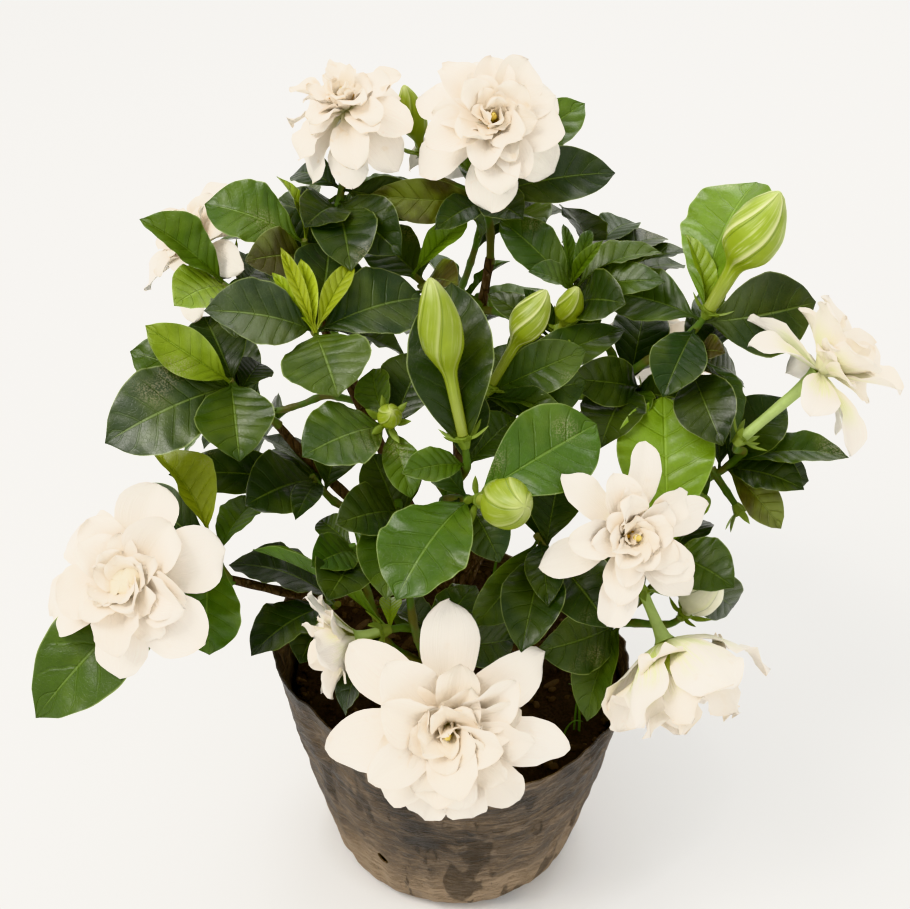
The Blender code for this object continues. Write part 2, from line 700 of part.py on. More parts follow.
class Plant:
    """The whole bush: the limbs, and for each shoot its stem, leaves, bud and bloom."""

    def __init__(self):
        self.thicket = Thicket()
        self.limbs = {}
        self.nodes = {}
        self.stems = {}
        self.random = random.Random(7)

    def keep(self, node, body):
        """Adds a piece to a node and to the thicket."""
        self.nodes.setdefault(node, []).append(body)
        self.thicket.add(node, body)

    def open_bloom(self, name, centre, axis, span, rings, turn):
        """A bloom: layers of petals, each on its own hub, threaded on a small heart."""
        frame = (*across_frame(axis), axis)
        placed = []
        node = "bloom_" + name
        self.keep(node, spindle(centre + axis * 0.4 * MM, axis, span * 0.20, HEART_RADIUS, 0.0, 5))
        for number, ring in enumerate(rings):
            start, end = ring.fan
            step = math.radians((end - start) / (ring.count if end - start == 360 else ring.count - 1))
            level = number * (HUB_HEIGHT + 0.3 * MM)
            hub = HUB_RADIUS - 0.5 * MM * number
            reach = min(0.38 * step, 0.55)
            petals = []
            for k in range(ring.count):
                angle = math.radians(turn + ring.turn + start) + step * k
                petal = self.free_petal(centre, frame, angle, level, hub, reach, ring, span, placed)
                petals.append((angle, reach, petal))
            layer = layer_body(centre, frame, level, hub, petals)
            self.keep(node, layer)

    def free_petal(self, centre, frame, angle, level, hub, reach, ring, span, placed):
        """The sections of a petal that crosses none of the petals placed before it in the same bloom."""
        first, second, axis = frame
        out = first * math.cos(angle) + second * math.sin(angle)
        root = centre + out * hub * math.cos(reach) + axis * (level + HUB_HEIGHT / 2)
        sway = self.random.uniform(-3, 3)
        stretch = self.random.uniform(0.95, 1.05)
        foot = blade_section(root, axis.cross(out), axis, hub * math.sin(reach), HUB_HEIGHT, 0.0)
        best = None
        for slim in (1.0, 0.92, 0.84, 0.76, 0.68):
            for lean in (PETAL_LEAN, PETAL_LEAN + 6, PETAL_LEAN + 12, PETAL_LEAN - 5):
                for more in (0, 4, -4, 8, -8):
                    shape = (
                        root, axis, out, ring.length * span * stretch, ring.width * span * slim,
                        ring.rise + sway + more, ring.curl + sway + more, lean,
                    )
                    grown = petal_sections(*shape, grow=0.12 * MM)
                    end = sum(grown[-1], Vector()) / 4 + out * 0.01 * MM
                    tree = BVHTree.FromPolygons(*loft([foot, *grown], end))
                    bad = sum(bool(tree.overlap(other)) for other in placed)
                    if best is None or bad < best[0]:
                        best = (bad, shape, tree)
                    if not bad:
                        placed.append(tree)
                        return petal_sections(*shape)
        placed.append(best[2])
        return petal_sections(*best[1])

    def set_bud(self, node, base, way, length, radius, neck):
        """A closed bud that starts just above its calyx."""
        sides = 8 if radius > 6 * MM else 6
        bud = spindle(base + way * GAP, way, length, radius, neck, sides)
        self.keep(node, bud)

    def grow_limbs(self):
        """The trunk and the limbs, which are one woody body."""
        for name, (route, first, last) in LIMBS.items():
            points = [Vector(p) * MM for p in route]
            radii = [(first + (last - first) * i / (len(points) - 1)) * MM for i in range(len(points))]
            self.limbs[name] = points
            limb = tube(points, radii, LIMB_BEVEL if name == "trunk" else STEM_BEVEL)
            self.keep("woody_stems", limb)

    def junctions(self, limb, head):
        """Places on a limb for a twig that leads to head, best first, with the limb's direction there."""
        points = self.limbs[limb]
        places = []
        for a, b in zip(points[1:], points[2:]):
            for t in (0.25, 0.6, 1.0):
                place = a.lerp(b, t)
                lean = (head - place).normalized().dot((b - a).normalized())
                places.append(((head - place).length * (1.6 - 0.6 * lean), place, (b - a).normalized()))
        return [entry[1:] for entry in sorted(places, key=lambda entry: entry[0])]

    def grow_stem(self, name, limb, head, ahead=(), axis=None):
        """A green stem that stands just clear of its limb. ahead holds the points past the head."""
        node = "shoot_" + name
        best = None
        for place, lead in self.junctions(limb, head)[:5]:
            arrive = axis if axis else ((head - place).normalized() + UP * 0.7).normalized()
            if len(ahead) and (ahead[0] - head).length > 4 * MM:
                arrive = ((ahead[0] - head).normalized() + arrive).normalized()
            side = lead.cross(arrive)
            side = side.normalized() if side.length > 0.1 else lead.orthogonal().normalized()
            for bulge, sideways in STEM_SWERVES:
                swerve = (lead + (side if sideways else side.cross(lead)) * bulge).normalized()
                route = bend(place, swerve, head, arrive, 6)
                foot = self.clear_foot(node, route)
                if not foot:
                    continue
                green = [foot, *route[2:]]
                count = len(green)
                green += list(ahead)
                radii = [STEM_RADIUS * (1 - 0.2 * i / (len(green) - 1)) for i in range(len(green))]
                bad = self.thicket.crossed(node, tube(green[1:], [radius + MARGIN for radius in radii[1:]]))
                bad += self.thicket.crossed(node, tube(green[:2], [radius + GAP for radius in radii[:2]]))
                if best is None or len(bad) < len(best[0]):
                    best = (bad, tube(green, radii), green[:count])
                if not bad:
                    break
            if best and not best[0]:
                break
        _, stem, green = best
        self.keep(node, stem)
        self.stems[name] = green

    def clear_foot(self, node, route):
        """The first point along a route where a stem that starts there stands just clear of its limb."""

        def foot_at(share):
            return route[0].lerp(route[1], share) if share <= 1 else route[1].lerp(route[2], share - 1)

        def clear(share):
            foot = foot_at(share)
            end = foot.lerp(route[2], 0.999)
            start = foot - (end - foot).normalized() * GAP
            test = tube([start, end], [STEM_RADIUS + GAP] * 2)
            return "woody_stems" not in self.thicket.crossed(node, test)

        for step in range(1, 33):
            high = step * 0.05
            if clear(high):
                low = high - 0.05
                for _ in range(5):
                    middle = (low + high) / 2
                    low, high = (low, middle) if clear(middle) else (middle, high)
                return foot_at(high)
        return None

    def grow_to_bloom(self, name, limb, head, centre, axis, tube_length):
        """A stem that ends in a calyx and the tube that carries a bloom."""
        end = centre - axis * GAP
        calyx = end - axis * tube_length
        if (calyx - head).length > 14 * MM:
            start = (head - self.limbs[limb][-1]).normalized()
            self.grow_stem(name, limb, head, [*bend(head, start, calyx, axis, 4)[1:], end])
        else:
            self.grow_stem(name, limb, calyx, [end], axis)
        self.set_calyx(name, calyx - axis * CALYX_HEIGHT * 0.7, axis)

    def grow_to_bud(self, name, limb, head, base, way):
        """A stem that ends in the calyx under a bud."""
        foot = base - way * (CALYX_HEIGHT + 0.4 * MM)
        if (foot - head).length > 14 * MM:
            start = (head - self.limbs[limb][-1]).normalized()
            self.grow_stem(name, limb, head, bend(head, start, foot + way * 1.0 * MM, way, 4)[1:])
        else:
            self.grow_stem(name, limb, foot + way * 1.0 * MM, (), way)
        self.set_calyx(name, foot, way)

    def grow_side_bud(self, name, base, way):
        """A short side stem, and the calyx under a bud that stands beside a shoot's bloom."""
        node = "shoot_" + name
        foot = base - way * (CALYX_HEIGHT + 0.4 * MM)
        end = foot + way * 1.0 * MM
        best = None
        for down in (10, 16, 22, 28, 34, 4):
            start, along = self.below_head(name, down * MM)
            for bulge in (0.0, 0.6, -0.6):
                lead = (end - start).normalized() + along * 0.5
                lead = (lead + lead.cross(way) * bulge).normalized()
                route = bend(start, lead, end, way, 5)
                radii = [STEM_RADIUS * 0.85] * 5
                bad = self.thicket.crossed(node, tube(route, [radius + MARGIN for radius in radii]))
                if best is None or len(bad) < len(best[0]):
                    best = (bad, tube(route, radii))
        self.keep(node, best[1])
        self.set_calyx(name, foot, way)

    def set_calyx(self, name, foot, axis):
        """A calyx round the end of a stem."""
        self.keep("shoot_" + name, crown(foot, axis))

    def below_head(self, name, down):
        """The point on a shoot's stem at a distance below its head, and the stem's direction there."""
        points = self.stems[name]
        left = down
        for a, b in zip(reversed(points[:-1]), reversed(points[1:])):
            step = (b - a).length
            if left <= step:
                return b.lerp(a, left / step), (b - a).normalized()
            left -= step
        return points[0].lerp(points[1], 0.3), (points[1] - points[0]).normalized()

    def try_leaf(self, name, shapes):
        """Keeps the best of a leaf's shapes: clear of the other nodes, then clear of its own shoot."""
        node = "shoot_" + name
        best = None
        for shape in shapes:
            if self.thicket.crossed(node, leaf_body(*shape, grow=MARGIN)):
                continue
            blade = leaf_body(*shape, root=0.12)
            own = self.thicket.crossed_own(node, blade)
            if best is None or own < best[0]:
                best = (own, shape)
            if not own:
                break
        if best:
            self.keep(node, leaf_body(*best[1]))
        return best is not None

    def pictured_leaf(self, name, leaf):
        """A leaf that the picture shows, bent clear along its own sight line, so it still shows there."""
        base, _ = self.below_head(name, leaf.down * MM)
        tip = reached(base, *leaf.tip, leaf.length * MM, leaf.near)
        sight = ray(*leaf.tip).normalized()
        towards = (EYE - base).normalized()
        shapes = []
        for depth in (0, 4, -4, 8, -8, 12, -12, 17, -17, 22, -22, 28, -28):
            for turn in (0, 14, -14, 28, -28, 42, -42):
                end = tip + sight * depth * MM
                along = (end - base).normalized()
                face = towards * 0.55 + UP * 0.45
                face = (face - along * face.dot(along)).normalized()
                face = Matrix.Rotation(math.radians(leaf.roll + turn), 3, along) @ face
                shapes.append((base, end, face, leaf.width * MM, leaf.bow, leaf.fold))
        self.try_leaf(name, shapes)

    def hidden_leaf(self, name, index, down, length, width, outward):
        """A leaf that the picture doesn't show: by the golden angle round its stem."""
        base, along = self.below_head(name, down * MM)
        side = along.orthogonal().normalized()
        shapes = []
        for attempt in range(14):
            turn = math.radians(137.5 * index + 51.0 * attempt)
            around = side * math.cos(turn) + along.cross(side) * math.sin(turn)
            way = (around * 0.85 + along * 0.35 + outward * 0.4 + UP * 0.10).normalized()
            face = UP + outward * 0.3 + along * 0.2
            face = face - way * face.dot(way)
            if face.length < 0.3:
                continue
            scale = 1.0 - 0.025 * attempt
            end = base + way * length * scale * MM
            shapes.append((base, end, face.normalized(), width * scale * MM, 0.10, 14))
        return self.try_leaf(name, shapes)

    def grow(self):
        """Places everything, the pieces with the least freedom first."""
        blooms = {}
        for bloom in BLOOMS:
            centre = seen(*bloom.centre, bloom.back)
            axis = Vector(bloom.axis).normalized()
            blooms[bloom.shoot] = (centre, axis, bloom.tube * MM)
            self.open_bloom(bloom.shoot, centre, axis, bloom.span * MM, bloom.rings, bloom.turn)
        for name, centre, axis, span in BACK_BLOOMS:
            centre, axis = Vector(centre) * MM, Vector(axis).normalized()
            blooms[name] = (centre, axis, 18 * MM)
            self.open_bloom(name, centre, axis, span * MM, DOUBLE, 0)
        buds = {}
        for bud in BUDS:
            base = seen(*bud.base, bud.back)
            tip = reached(base, *bud.tip, bud.length * MM, bud.near)
            way = (tip - base).normalized()
            buds.setdefault(bud.shoot, (base, way))
            self.set_bud("bud_" + bud.shoot, base, way, bud.length * MM, bud.radius * MM, bud.neck)
        self.grow_limbs()
        heads = [(s.name, s.limb, seen(*s.head, s.back)) for s in SHOOTS]
        heads += [(name, limb, Vector(head) * MM) for name, limb, head in BACK_SHOOTS]
        for name, limb, head in heads:
            if name in blooms:
                self.grow_to_bloom(name, limb, head, *blooms[name])
                if name in buds:
                    self.grow_side_bud(name, *buds[name])
            elif name in buds:
                self.grow_to_bud(name, limb, head, *buds[name])
            else:
                self.grow_stem(name, limb, head)
        order = [(shoot.name, leaf) for shoot in SHOOTS for leaf in shoot.leaves]
        for name, leaf in sorted(order, key=lambda entry: -entry[1].width * entry[1].length):
            self.pictured_leaf(name, leaf)
        for name, _, head in heads[len(SHOOTS):]:
            outward = Vector((head.x, head.y, 0)).normalized()
            for i in range(BACK_LEAVES):
                length = (42, 50, 56)[min(i // 2, 2)] * self.random.uniform(0.9, 1.1)
                self.hidden_leaf(name, i, 1 + 5.0 * i, length, length * 0.52, outward)
        for shoot in SHOOTS:
            for i in range(shoot.fill):
                length = 44 * self.random.uniform(0.85, 1.1)
                outward = Vector((0.0, 1.0, 0.1))
                self.hidden_leaf(shoot.name, i, 12 + 8 * i, length, length * 0.5, outward)


def bag_radius(turn, height):
    """Outer radius of the bag at an angle and a height, with its creases, its dent and rounded foot."""
    share = height / BAG_HEIGHT
    radius = BAG_BASE_RADIUS + (BAG_RIM_RADIUS - BAG_BASE_RADIUS) * share ** 0.85
    if height < BAG_FOOT:
        drop = 1 - height / BAG_FOOT
        radius -= 6 * MM * drop * drop
    creases = math.sin(5 * turn + 0.7) + 0.6 * math.sin(9 * turn - 9 * share + 2.0)
    creases += 0.4 * math.sin(13 * turn + 5 * share)
    away = (math.degrees(turn) - 230) / 28
    dent = 6 * MM * share * math.exp(-away * away)
    return radius * (1 + 0.010 * creases * (0.25 + share)) - dent


def rim_height(turn):
    """Height of the bag's cut rim, which stands high at the left of the front and sags at the right."""
    slope = 15 * math.cos(turn - math.radians(210))
    return BAG_HEIGHT + (slope + 2.4 * math.sin(3 * turn + 2.2) + 1.4 * math.sin(7 * turn)) * MM


def level_ring(turn_radius, height):
    """A ring of points round the bag. Both arguments are functions of the angle."""
    turns = [2 * math.pi * k / BAG_SIDES for k in range(BAG_SIDES)]
    places = [(t, turn_radius(t, height(t)), height(t)) for t in turns]
    return [Vector((radius * math.cos(t), radius * math.sin(t), level)) for t, radius, level in places]


def rings_mesh(name, rings, tip=None):
    """A mesh through rings of points, closed at the bottom, and at the top too if tip is given."""
    shape = bmesh.new()
    made = [[shape.verts.new(p) for p in ring] for ring in rings]
    for low, high in zip(made, made[1:]):
        for k in range(BAG_SIDES):
            n = (k + 1) % BAG_SIDES
            shape.faces.new((low[k], low[n], high[n], high[k]))
    shape.faces.new(tuple(reversed(made[0])))
    if tip is not None:
        top = shape.verts.new(tip)
        for k in range(BAG_SIDES):
            shape.faces.new((made[-1][k], made[-1][(k + 1) % BAG_SIDES], top))
    mesh = bpy.data.meshes.new(name)
    shape.to_mesh(mesh)
    shape.free()
    return mesh


def material(name, colour, roughness):
    """A plain finish with a colour and a roughness."""
    made = bpy.data.materials.new(name)
    made.use_nodes = True
    shader = made.node_tree.nodes["Principled BSDF"]
    shader.inputs["Base Color"].default_value = (*colour, 1.0)
    shader.inputs["Roughness"].default_value = roughness
    shader.inputs["Metallic"].default_value = 0.0
    return made


def mesh_object(name, body, where):
    """An object of one closed body, with its faces pointing out."""
    shape = bmesh.new()
    verts = [shape.verts.new(p) for p in body[0]]
    for face in body[1]:
        shape.faces.new([verts[i] for i in face])
    bmesh.ops.recalc_face_normals(shape, faces=shape.faces)
    bmesh.ops.triangulate(shape, faces=[f for f in shape.faces if len(f.verts) > 4])
    mesh = bpy.data.meshes.new(name)
    shape.to_mesh(mesh)
    shape.free()
    obj = bpy.data.objects.new(name, mesh)
    where.objects.link(obj)
    return obj


def bodies_of(shape):
    """The faces of each separate body of a mesh, largest body first."""
    left = set(shape.faces)
    groups = []
    while left:
        todo = [left.pop()]
        group = set(todo)
        while todo:
            for edge in todo.pop().edges:
                for face in edge.link_faces:
                    if face in left:
                        left.discard(face)
                        group.add(face)
                        todo.append(face)
        groups.append(group)
    return sorted(groups, key=len, reverse=True)


def closed(shape):
    """Whether a mesh is one closed skin."""
    return all(v.is_manifold for v in shape.verts) and len(bodies_of(shape)) == 1


def can_merge(edge, keep, lose):
    """Whether one end of an edge can move onto the other: the skin stays closed and no face turns over."""
    ring = {e.other_vert(keep) for e in keep.link_edges}
    if len(ring & {e.other_vert(lose) for e in lose.link_edges}) != 2:
        return False
    for face in lose.link_faces:
        if keep in face.verts:
            continue
        corners = [keep.co if v is lose else v.co for v in face.verts]
        normal = (corners[1] - corners[0]).cross(corners[2] - corners[0])
        if normal.length < 1e-12 or normal.normalized().dot(face.normal) < 0.8:
            return False
    return True


def merge_short_edges(shape, distance):
    """Merges the ends of each edge shorter than distance, where the closed skin allows it."""
    found = True
    while found:
        found = False
        shape.normal_update()
        short = [edge for edge in shape.edges if edge.calc_length() < distance]
        for edge in sorted(short, key=lambda e: e.calc_length()):
            if not edge.is_valid:
                continue
            a, b = edge.verts
            for keep, lose in ((a, b), (b, a)):
                if can_merge(edge, keep, lose):
                    bmesh.ops.pointmerge(shape, verts=[keep, lose], merge_co=keep.co.copy())
                    found = True
                    break
            if found:
                break


def main_body(mesh):
    """Keeps only the largest body of a mesh, in triangles, without scraps and hollows that fusing left."""
    shape = bmesh.new()
    shape.from_mesh(mesh)
    groups = bodies_of(shape)
    spare = [face for group in groups[1:] for face in group]
    if spare:
        bmesh.ops.delete(shape, geom=spare, context="FACES")
    for way in ("BEAUTY", "EAR_CLIP", "POKE"):
        trial = shape.copy()
        if way == "POKE":
            bmesh.ops.poke(trial, faces=[face for face in trial.faces if len(face.verts) > 4])
            way = "EAR_CLIP"
        bmesh.ops.triangulate(trial, faces=trial.faces, quad_method="BEAUTY", ngon_method=way)
        if closed(trial):
            break
        trial.free()
        trial = None
    if trial:
        merge_short_edges(trial, SHORT_EDGE)
        trial.to_mesh(mesh)
        trial.free()
    shape.free()
    return trial is not None


def union(obj, bodies, solver):
    """The mesh of an object joined with further closed bodies."""
    repeats = bpy.data.collections.new(obj.name + "_repeats")
    bpy.context.scene.collection.children.link(repeats)
    for i, body in enumerate(bodies):
        mesh_object(f"{obj.name}_{i}", body, repeats)
    join = obj.modifiers.new("union", "BOOLEAN")
    join.operation = "UNION"
    join.operand_type = "COLLECTION"
    join.collection = repeats
    join.solver = solver
    bpy.context.view_layer.update()
    mesh = bpy.data.meshes.new_from_object(obj.evaluated_get(bpy.context.evaluated_depsgraph_get()))
    obj.modifiers.clear()
    for repeat in list(repeats.objects):
        bpy.data.objects.remove(repeat)
    bpy.data.collections.remove(repeats)
    return mesh


def fused(name, bodies, where):
    """One object that is the union of several closed bodies."""
    obj = mesh_object(name, bodies[0], where)
    if len(bodies) == 1:
        return obj
    for solver in ("EXACT", "MANIFOLD"):
        mesh = union(obj, bodies[1:], solver)
        if main_body(mesh):
            break
    obj.data = mesh
    return obj


def world_body(obj):
    """The points and faces of an object as the viewport shows it."""
    bpy.context.view_layer.update()
    shown = obj.evaluated_get(bpy.context.evaluated_depsgraph_get())
    mesh = bpy.data.meshes.new_from_object(shown)
    body = [obj.matrix_world @ v.co for v in mesh.vertices], [tuple(f.vertices) for f in mesh.polygons]
    bpy.data.meshes.remove(mesh)
    return body


def make_bag(model, cutters):
    """The grow bag: a crumpled film tub with a wavy cut rim and three small drain holes."""
    rings = [level_ring(bag_radius, lambda t, level=level: level * rim_height(t)) for level in BAG_LEVELS]
    bag = bpy.data.objects.new("grow_bag", rings_mesh("grow_bag", rings))
    model.objects.link(bag)
    film = bag.modifiers.new("film", "SOLIDIFY")
    film.thickness = BAG_FILM
    film.offset = -1
    film.use_even_offset = True
    holes = bpy.data.objects.new("drain_holes", bpy.data.meshes.new("drain_holes"))
    cutters.objects.link(holes)
    shape = bmesh.new()
    for degrees in DRAIN_HOLE_TURNS:
        turn = math.radians(degrees % 360)
        out = Vector((math.cos(turn), math.sin(turn), 0.0))
        place = out * bag_radius(turn, DRAIN_HOLE_HEIGHT) + UP * DRAIN_HOLE_HEIGHT
        pose = Matrix.Translation(place) @ out.to_track_quat("Z", "Y").to_matrix().to_4x4()
        bmesh.ops.create_cone(
            shape, cap_ends=True, segments=8, radius1=DRAIN_HOLE_RADIUS, radius2=DRAIN_HOLE_RADIUS,
            depth=3 * BAG_FILM, matrix=pose,
        )
    shape.to_mesh(holes.data)
    shape.free()
    hide(holes)
    cut = bag.modifiers.new("drain holes", "BOOLEAN")
    cut.operation = "DIFFERENCE"
    cut.object = holes
    return bag


def hide(cutter):
    """Marks an object as a cutter."""
    cutter.hide_render = True
    cutter.display_type = "WIRE"


def make_soil(model, cutters):
    """The soil, a little clear of the film, with a lumpy top and a plain hole for the trunk."""
    lumps = random.Random(3)
    inset = BAG_FILM + SOIL_CLEARANCE

    def inner(turn, height):
        return bag_radius(turn, height) - inset

    levels = [share * BAG_HEIGHT for share in (0.11, 0.36, 0.60)]
    levels = [inset, 0.035 * BAG_HEIGHT + 1 * MM, *levels, SOIL_TOP - 1.5 * MM]
    rings = [level_ring(inner, lambda t, level=level: level) for level in levels]
    rings[0] = [Vector((p.x * 0.97, p.y * 0.97, p.z)) for p in rings[0]]
    for share in (0.82, 0.50):
        rings.append([
            Vector((p.x * share, p.y * share, SOIL_TOP + lumps.uniform(-1.5, 2.0) * MM)) for p in rings[5]
        ])
    mesh = rings_mesh("potting_soil", rings, Vector((0.0, 0.0, SOIL_TOP)))
    soil = bpy.data.objects.new("potting_soil", mesh)
    model.objects.link(soil)
    hole = bpy.data.objects.new("trunk_hole", bpy.data.meshes.new("trunk_hole"))
    cutters.objects.link(hole)
    height = 60 * MM
    shape = bmesh.new()
    bmesh.ops.create_cone(
        shape, cap_ends=True, segments=16, radius1=TRUNK_HOLE_RADIUS, radius2=TRUNK_HOLE_RADIUS,
        depth=height, matrix=Matrix.Translation((0.5 * MM, 4 * MM, TRUNK_FOOT - GAP + height / 2)),
    )
    shape.to_mesh(hole.data)
    shape.free()
    hide(hole)
    cut = soil.modifiers.new("trunk hole", "BOOLEAN")
    cut.operation = "DIFFERENCE"
    cut.object = hole
    return soil


GREENS = ((0.065, 0.17, 0.035), (0.05, 0.13, 0.03), (0.09, 0.22, 0.04), (0.04, 0.10, 0.03))
CREAM = (0.90, 0.85, 0.74)
OLD_CREAM = (0.86, 0.74, 0.52)
BUD_GREEN = (0.42, 0.58, 0.16)


def look_of(name, index):
    """Colour and roughness for a node of the plant."""
    if name.startswith("bloom"):
        return (OLD_CREAM if name in ("bloom_far_left", "bloom_top_left") else CREAM), 0.6
    if name.startswith("bud"):
        return BUD_GREEN, 0.45
    if name == "woody_stems":
        return (0.12, 0.075, 0.045), 0.85
    return GREENS[index % len(GREENS)], 0.4


def build():
    """Builds the whole object."""
    for obj in list(bpy.data.objects):
        bpy.data.objects.remove(obj)
    model = bpy.data.collections.new("potted_gardenia")
    cutters = bpy.data.collections.new("cutters")
    for collection in (model, cutters):
        bpy.context.scene.collection.children.link(collection)
    bag = make_bag(model, cutters)
    bag.data.materials.append(material("black_film", (0.035, 0.032, 0.030), 0.55))
    soil = make_soil(model, cutters)
    soil.data.materials.append(material("dark_soil", (0.045, 0.032, 0.024), 0.95))
    plant = Plant()
    plant.thicket.add("grow_bag", world_body(bag))
    plant.thicket.add("potting_soil", world_body(soil))
    plant.grow()
    for index, (name, bodies) in enumerate(plant.nodes.items()):
        obj = fused(name, bodies, model)
        obj.data.materials.clear()
        obj.data.materials.append(material(name + "_finish", *look_of(name, index)))


build()
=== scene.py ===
"""Potted gardenia, dressed: a double-flowered gardenia bush in a dusty black film grow bag.

Metres, +Z up. The origin is the middle of the bag's flat base, and the plant's front faces -Y.
The bush is placed as its solid model is: leaves and blooms stand where they show in a picture
taken from the front and above, and the tables say how far each is bent clear of its neighbours.
Each shoot, bloom and bud of the frame is then replaced by a finely shaped piece in the same place.
"""

from __future__ import annotations

import json
import logging
import math
import random
from dataclasses import dataclass, field
from enum import Enum
from typing import Iterable, Sequence

import bmesh
import bpy
import numpy as np
from mathutils import Matrix, Vector, noise

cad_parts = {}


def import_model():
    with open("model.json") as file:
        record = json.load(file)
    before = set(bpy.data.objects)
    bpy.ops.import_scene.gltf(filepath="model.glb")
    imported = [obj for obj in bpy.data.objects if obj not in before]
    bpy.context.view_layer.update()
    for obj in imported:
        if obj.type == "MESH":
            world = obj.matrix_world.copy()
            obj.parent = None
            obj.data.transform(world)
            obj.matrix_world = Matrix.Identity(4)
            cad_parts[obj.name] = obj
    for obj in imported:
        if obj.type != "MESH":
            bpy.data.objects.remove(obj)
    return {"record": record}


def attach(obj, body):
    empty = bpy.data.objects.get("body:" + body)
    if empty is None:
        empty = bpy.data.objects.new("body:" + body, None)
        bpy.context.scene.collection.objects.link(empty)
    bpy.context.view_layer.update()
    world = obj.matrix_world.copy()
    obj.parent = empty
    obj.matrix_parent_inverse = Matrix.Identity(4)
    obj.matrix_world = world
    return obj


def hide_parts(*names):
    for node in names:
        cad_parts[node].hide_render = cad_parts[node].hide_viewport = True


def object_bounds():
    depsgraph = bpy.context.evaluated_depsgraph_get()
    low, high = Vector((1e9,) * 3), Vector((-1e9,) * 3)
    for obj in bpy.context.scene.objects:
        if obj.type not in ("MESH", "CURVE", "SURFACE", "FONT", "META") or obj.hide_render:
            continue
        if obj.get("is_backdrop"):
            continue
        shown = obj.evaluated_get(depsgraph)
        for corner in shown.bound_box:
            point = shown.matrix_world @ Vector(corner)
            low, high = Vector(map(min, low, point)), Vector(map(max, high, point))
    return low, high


LOG = logging.getLogger("gardenia")

Colour = tuple[float, float, float]
Point = tuple[float, float, float]

MM = 0.001
GAP = 0.35 * MM
UP = Vector((0.0, 0.0, 1.0))
BODY = "root"

# Sizes that the placing shares with the solid model
LEAF_FULLNESS = 1.12
PETAL_LEAN = 12.0
HUB_RADIUS = 4.4 * MM
HUB_HEIGHT = 1.3 * MM
STEM_RADIUS = 1.9 * MM
CALYX_RADIUS = 3.2 * MM
CALYX_HEIGHT = 5.0 * MM
CALYX_LOBE = 10.0 * MM
GOLDEN_ANGLE = 137.5

# A leaf's side veins, which its shape and its skin share: the pairs, and how far each slants ahead
VEIN_PAIRS = 8.0
VEIN_SLANT = 1.35

# The picture's sight lines
IMAGE_WIDTH = 910.0
SENSOR_WIDTH = 36.0
FOCAL = 1500.0
MIDDLE = (455.0, 454.5)
TILT = math.radians(38.0)
EYE = Vector((0.0, -0.5264, 0.6613))
SIGHT = Vector((0.0, math.cos(TILT), -math.sin(TILT)))
SIGHT_UP = Vector((0.0, math.sin(TILT), math.cos(TILT)))


@dataclass(frozen=True)
class LeafLook:
    """How a leaf looks: its blade's colour, how pale its veins are, how strong the painted grey reflection
    of the sky on it is (which also makes it a little shinier), how mottled and how deeply crinkled it
    is, and how pointed its outline is."""

    colour: Colour
    veins: float
    shine_and_painted_reflection: float
    mottle: float
    crinkle: float
    pointed: float = 0.74


class Tone(Enum):
    """The looks that the leaves of this bush have, from the youngest to the oldest."""

    YOUNG = LeafLook((0.250, 0.330, 0.030), 0.35, 0.00, 0.10, 0.30)
    LIME = LeafLook((0.140, 0.225, 0.022), 0.15, 0.05, 0.15, 1.25, 0.56)
    BRIGHT = LeafLook((0.047, 0.094, 0.010), 0.20, 0.12, 0.20, 1.10, 0.68)
    MOTTLED = LeafLook((0.140, 0.220, 0.024), 0.60, 0.10, 0.90, 0.60)
    MATURE = LeafLook((0.028, 0.056, 0.009), 0.28, 0.25, 0.20, 0.80)
    # GREY leaves carry the strongest painted reflection of the sky
    GREY = LeafLook((0.024, 0.042, 0.017), 0.40, 0.80, 0.20, 0.50)
    DARK = LeafLook((0.013, 0.027, 0.006), 0.22, 0.20, 0.15, 0.70)
    BROWN = LeafLook((0.050, 0.042, 0.014), 0.40, 0.20, 0.60, 0.50)


@dataclass(frozen=True)
class Leaf:
    """One leaf of a shoot, placed by where its tip shows. Lengths are in millimetres. To be clear
    of its neighbours it is bent along its tip's sight line by a length, and turned by degrees."""

    tip: tuple[int, int]
    length: float
    width: float
    down: float = 2.0
    near: bool = True
    roll: float = 0.0
    bow: float = 0.10
    fold: float = 14.0
    tone: Tone = Tone.DARK
    bent: tuple[float, float] = (0.0, 0.0)


@dataclass(frozen=True)
class Foot:
    """Where a stem comes out of its limb: how many spans along its route, at which of the limb's
    best places for it, and how far its route swerves to the side and up."""

    share: float
    place: int = 0
    side: float = 0.0
    up: float = 0.0


@dataclass(frozen=True)
class Shoot:
    """A green shoot: where its head shows and how far back that is, its limb, the foot of its stem,
    and the leaves near its head. At the side that doesn't show, the head is a point in millimetres.

    Turns has a number for each leaf that the picture doesn't show: how often it is turned on round
    the stem to be clear of the rest.
    """

    name: str
    head: tuple[int, ...]
    back: float | None
    limb: str
    foot: Foot
    turns: tuple[int, ...]
    leaves: tuple[Leaf, ...] = ()


@dataclass(frozen=True)
class Bud:
    """A closed flower bud that ends a shoot. The base and the tip are picture positions."""

    shoot: str
    base: tuple[int, int]
    tip: tuple[int, int]
    back: float
    radius: float
    length: float
    neck: float


@dataclass(frozen=True)
class Ring:
    """One layer of petals: how many, how long and wide, and how they rise and curl back."""

    count: int
    length: float
    width: float
    rise: float
    curl: float
    turn: float = 0.0
    fan: tuple[float, float] = (0.0, 360.0)


@dataclass(frozen=True)
class Bloom:
    """An open double flower that ends a shoot. Rings give the petals of each layer. At the side that
    the picture doesn't show, the centre is a point in millimetres."""

    shoot: str
    centre: tuple[int, ...]
    back: float | None
    axis: Point
    span: float
    tube: float
    rings: tuple[Ring, ...]
    turn: float = 0.0


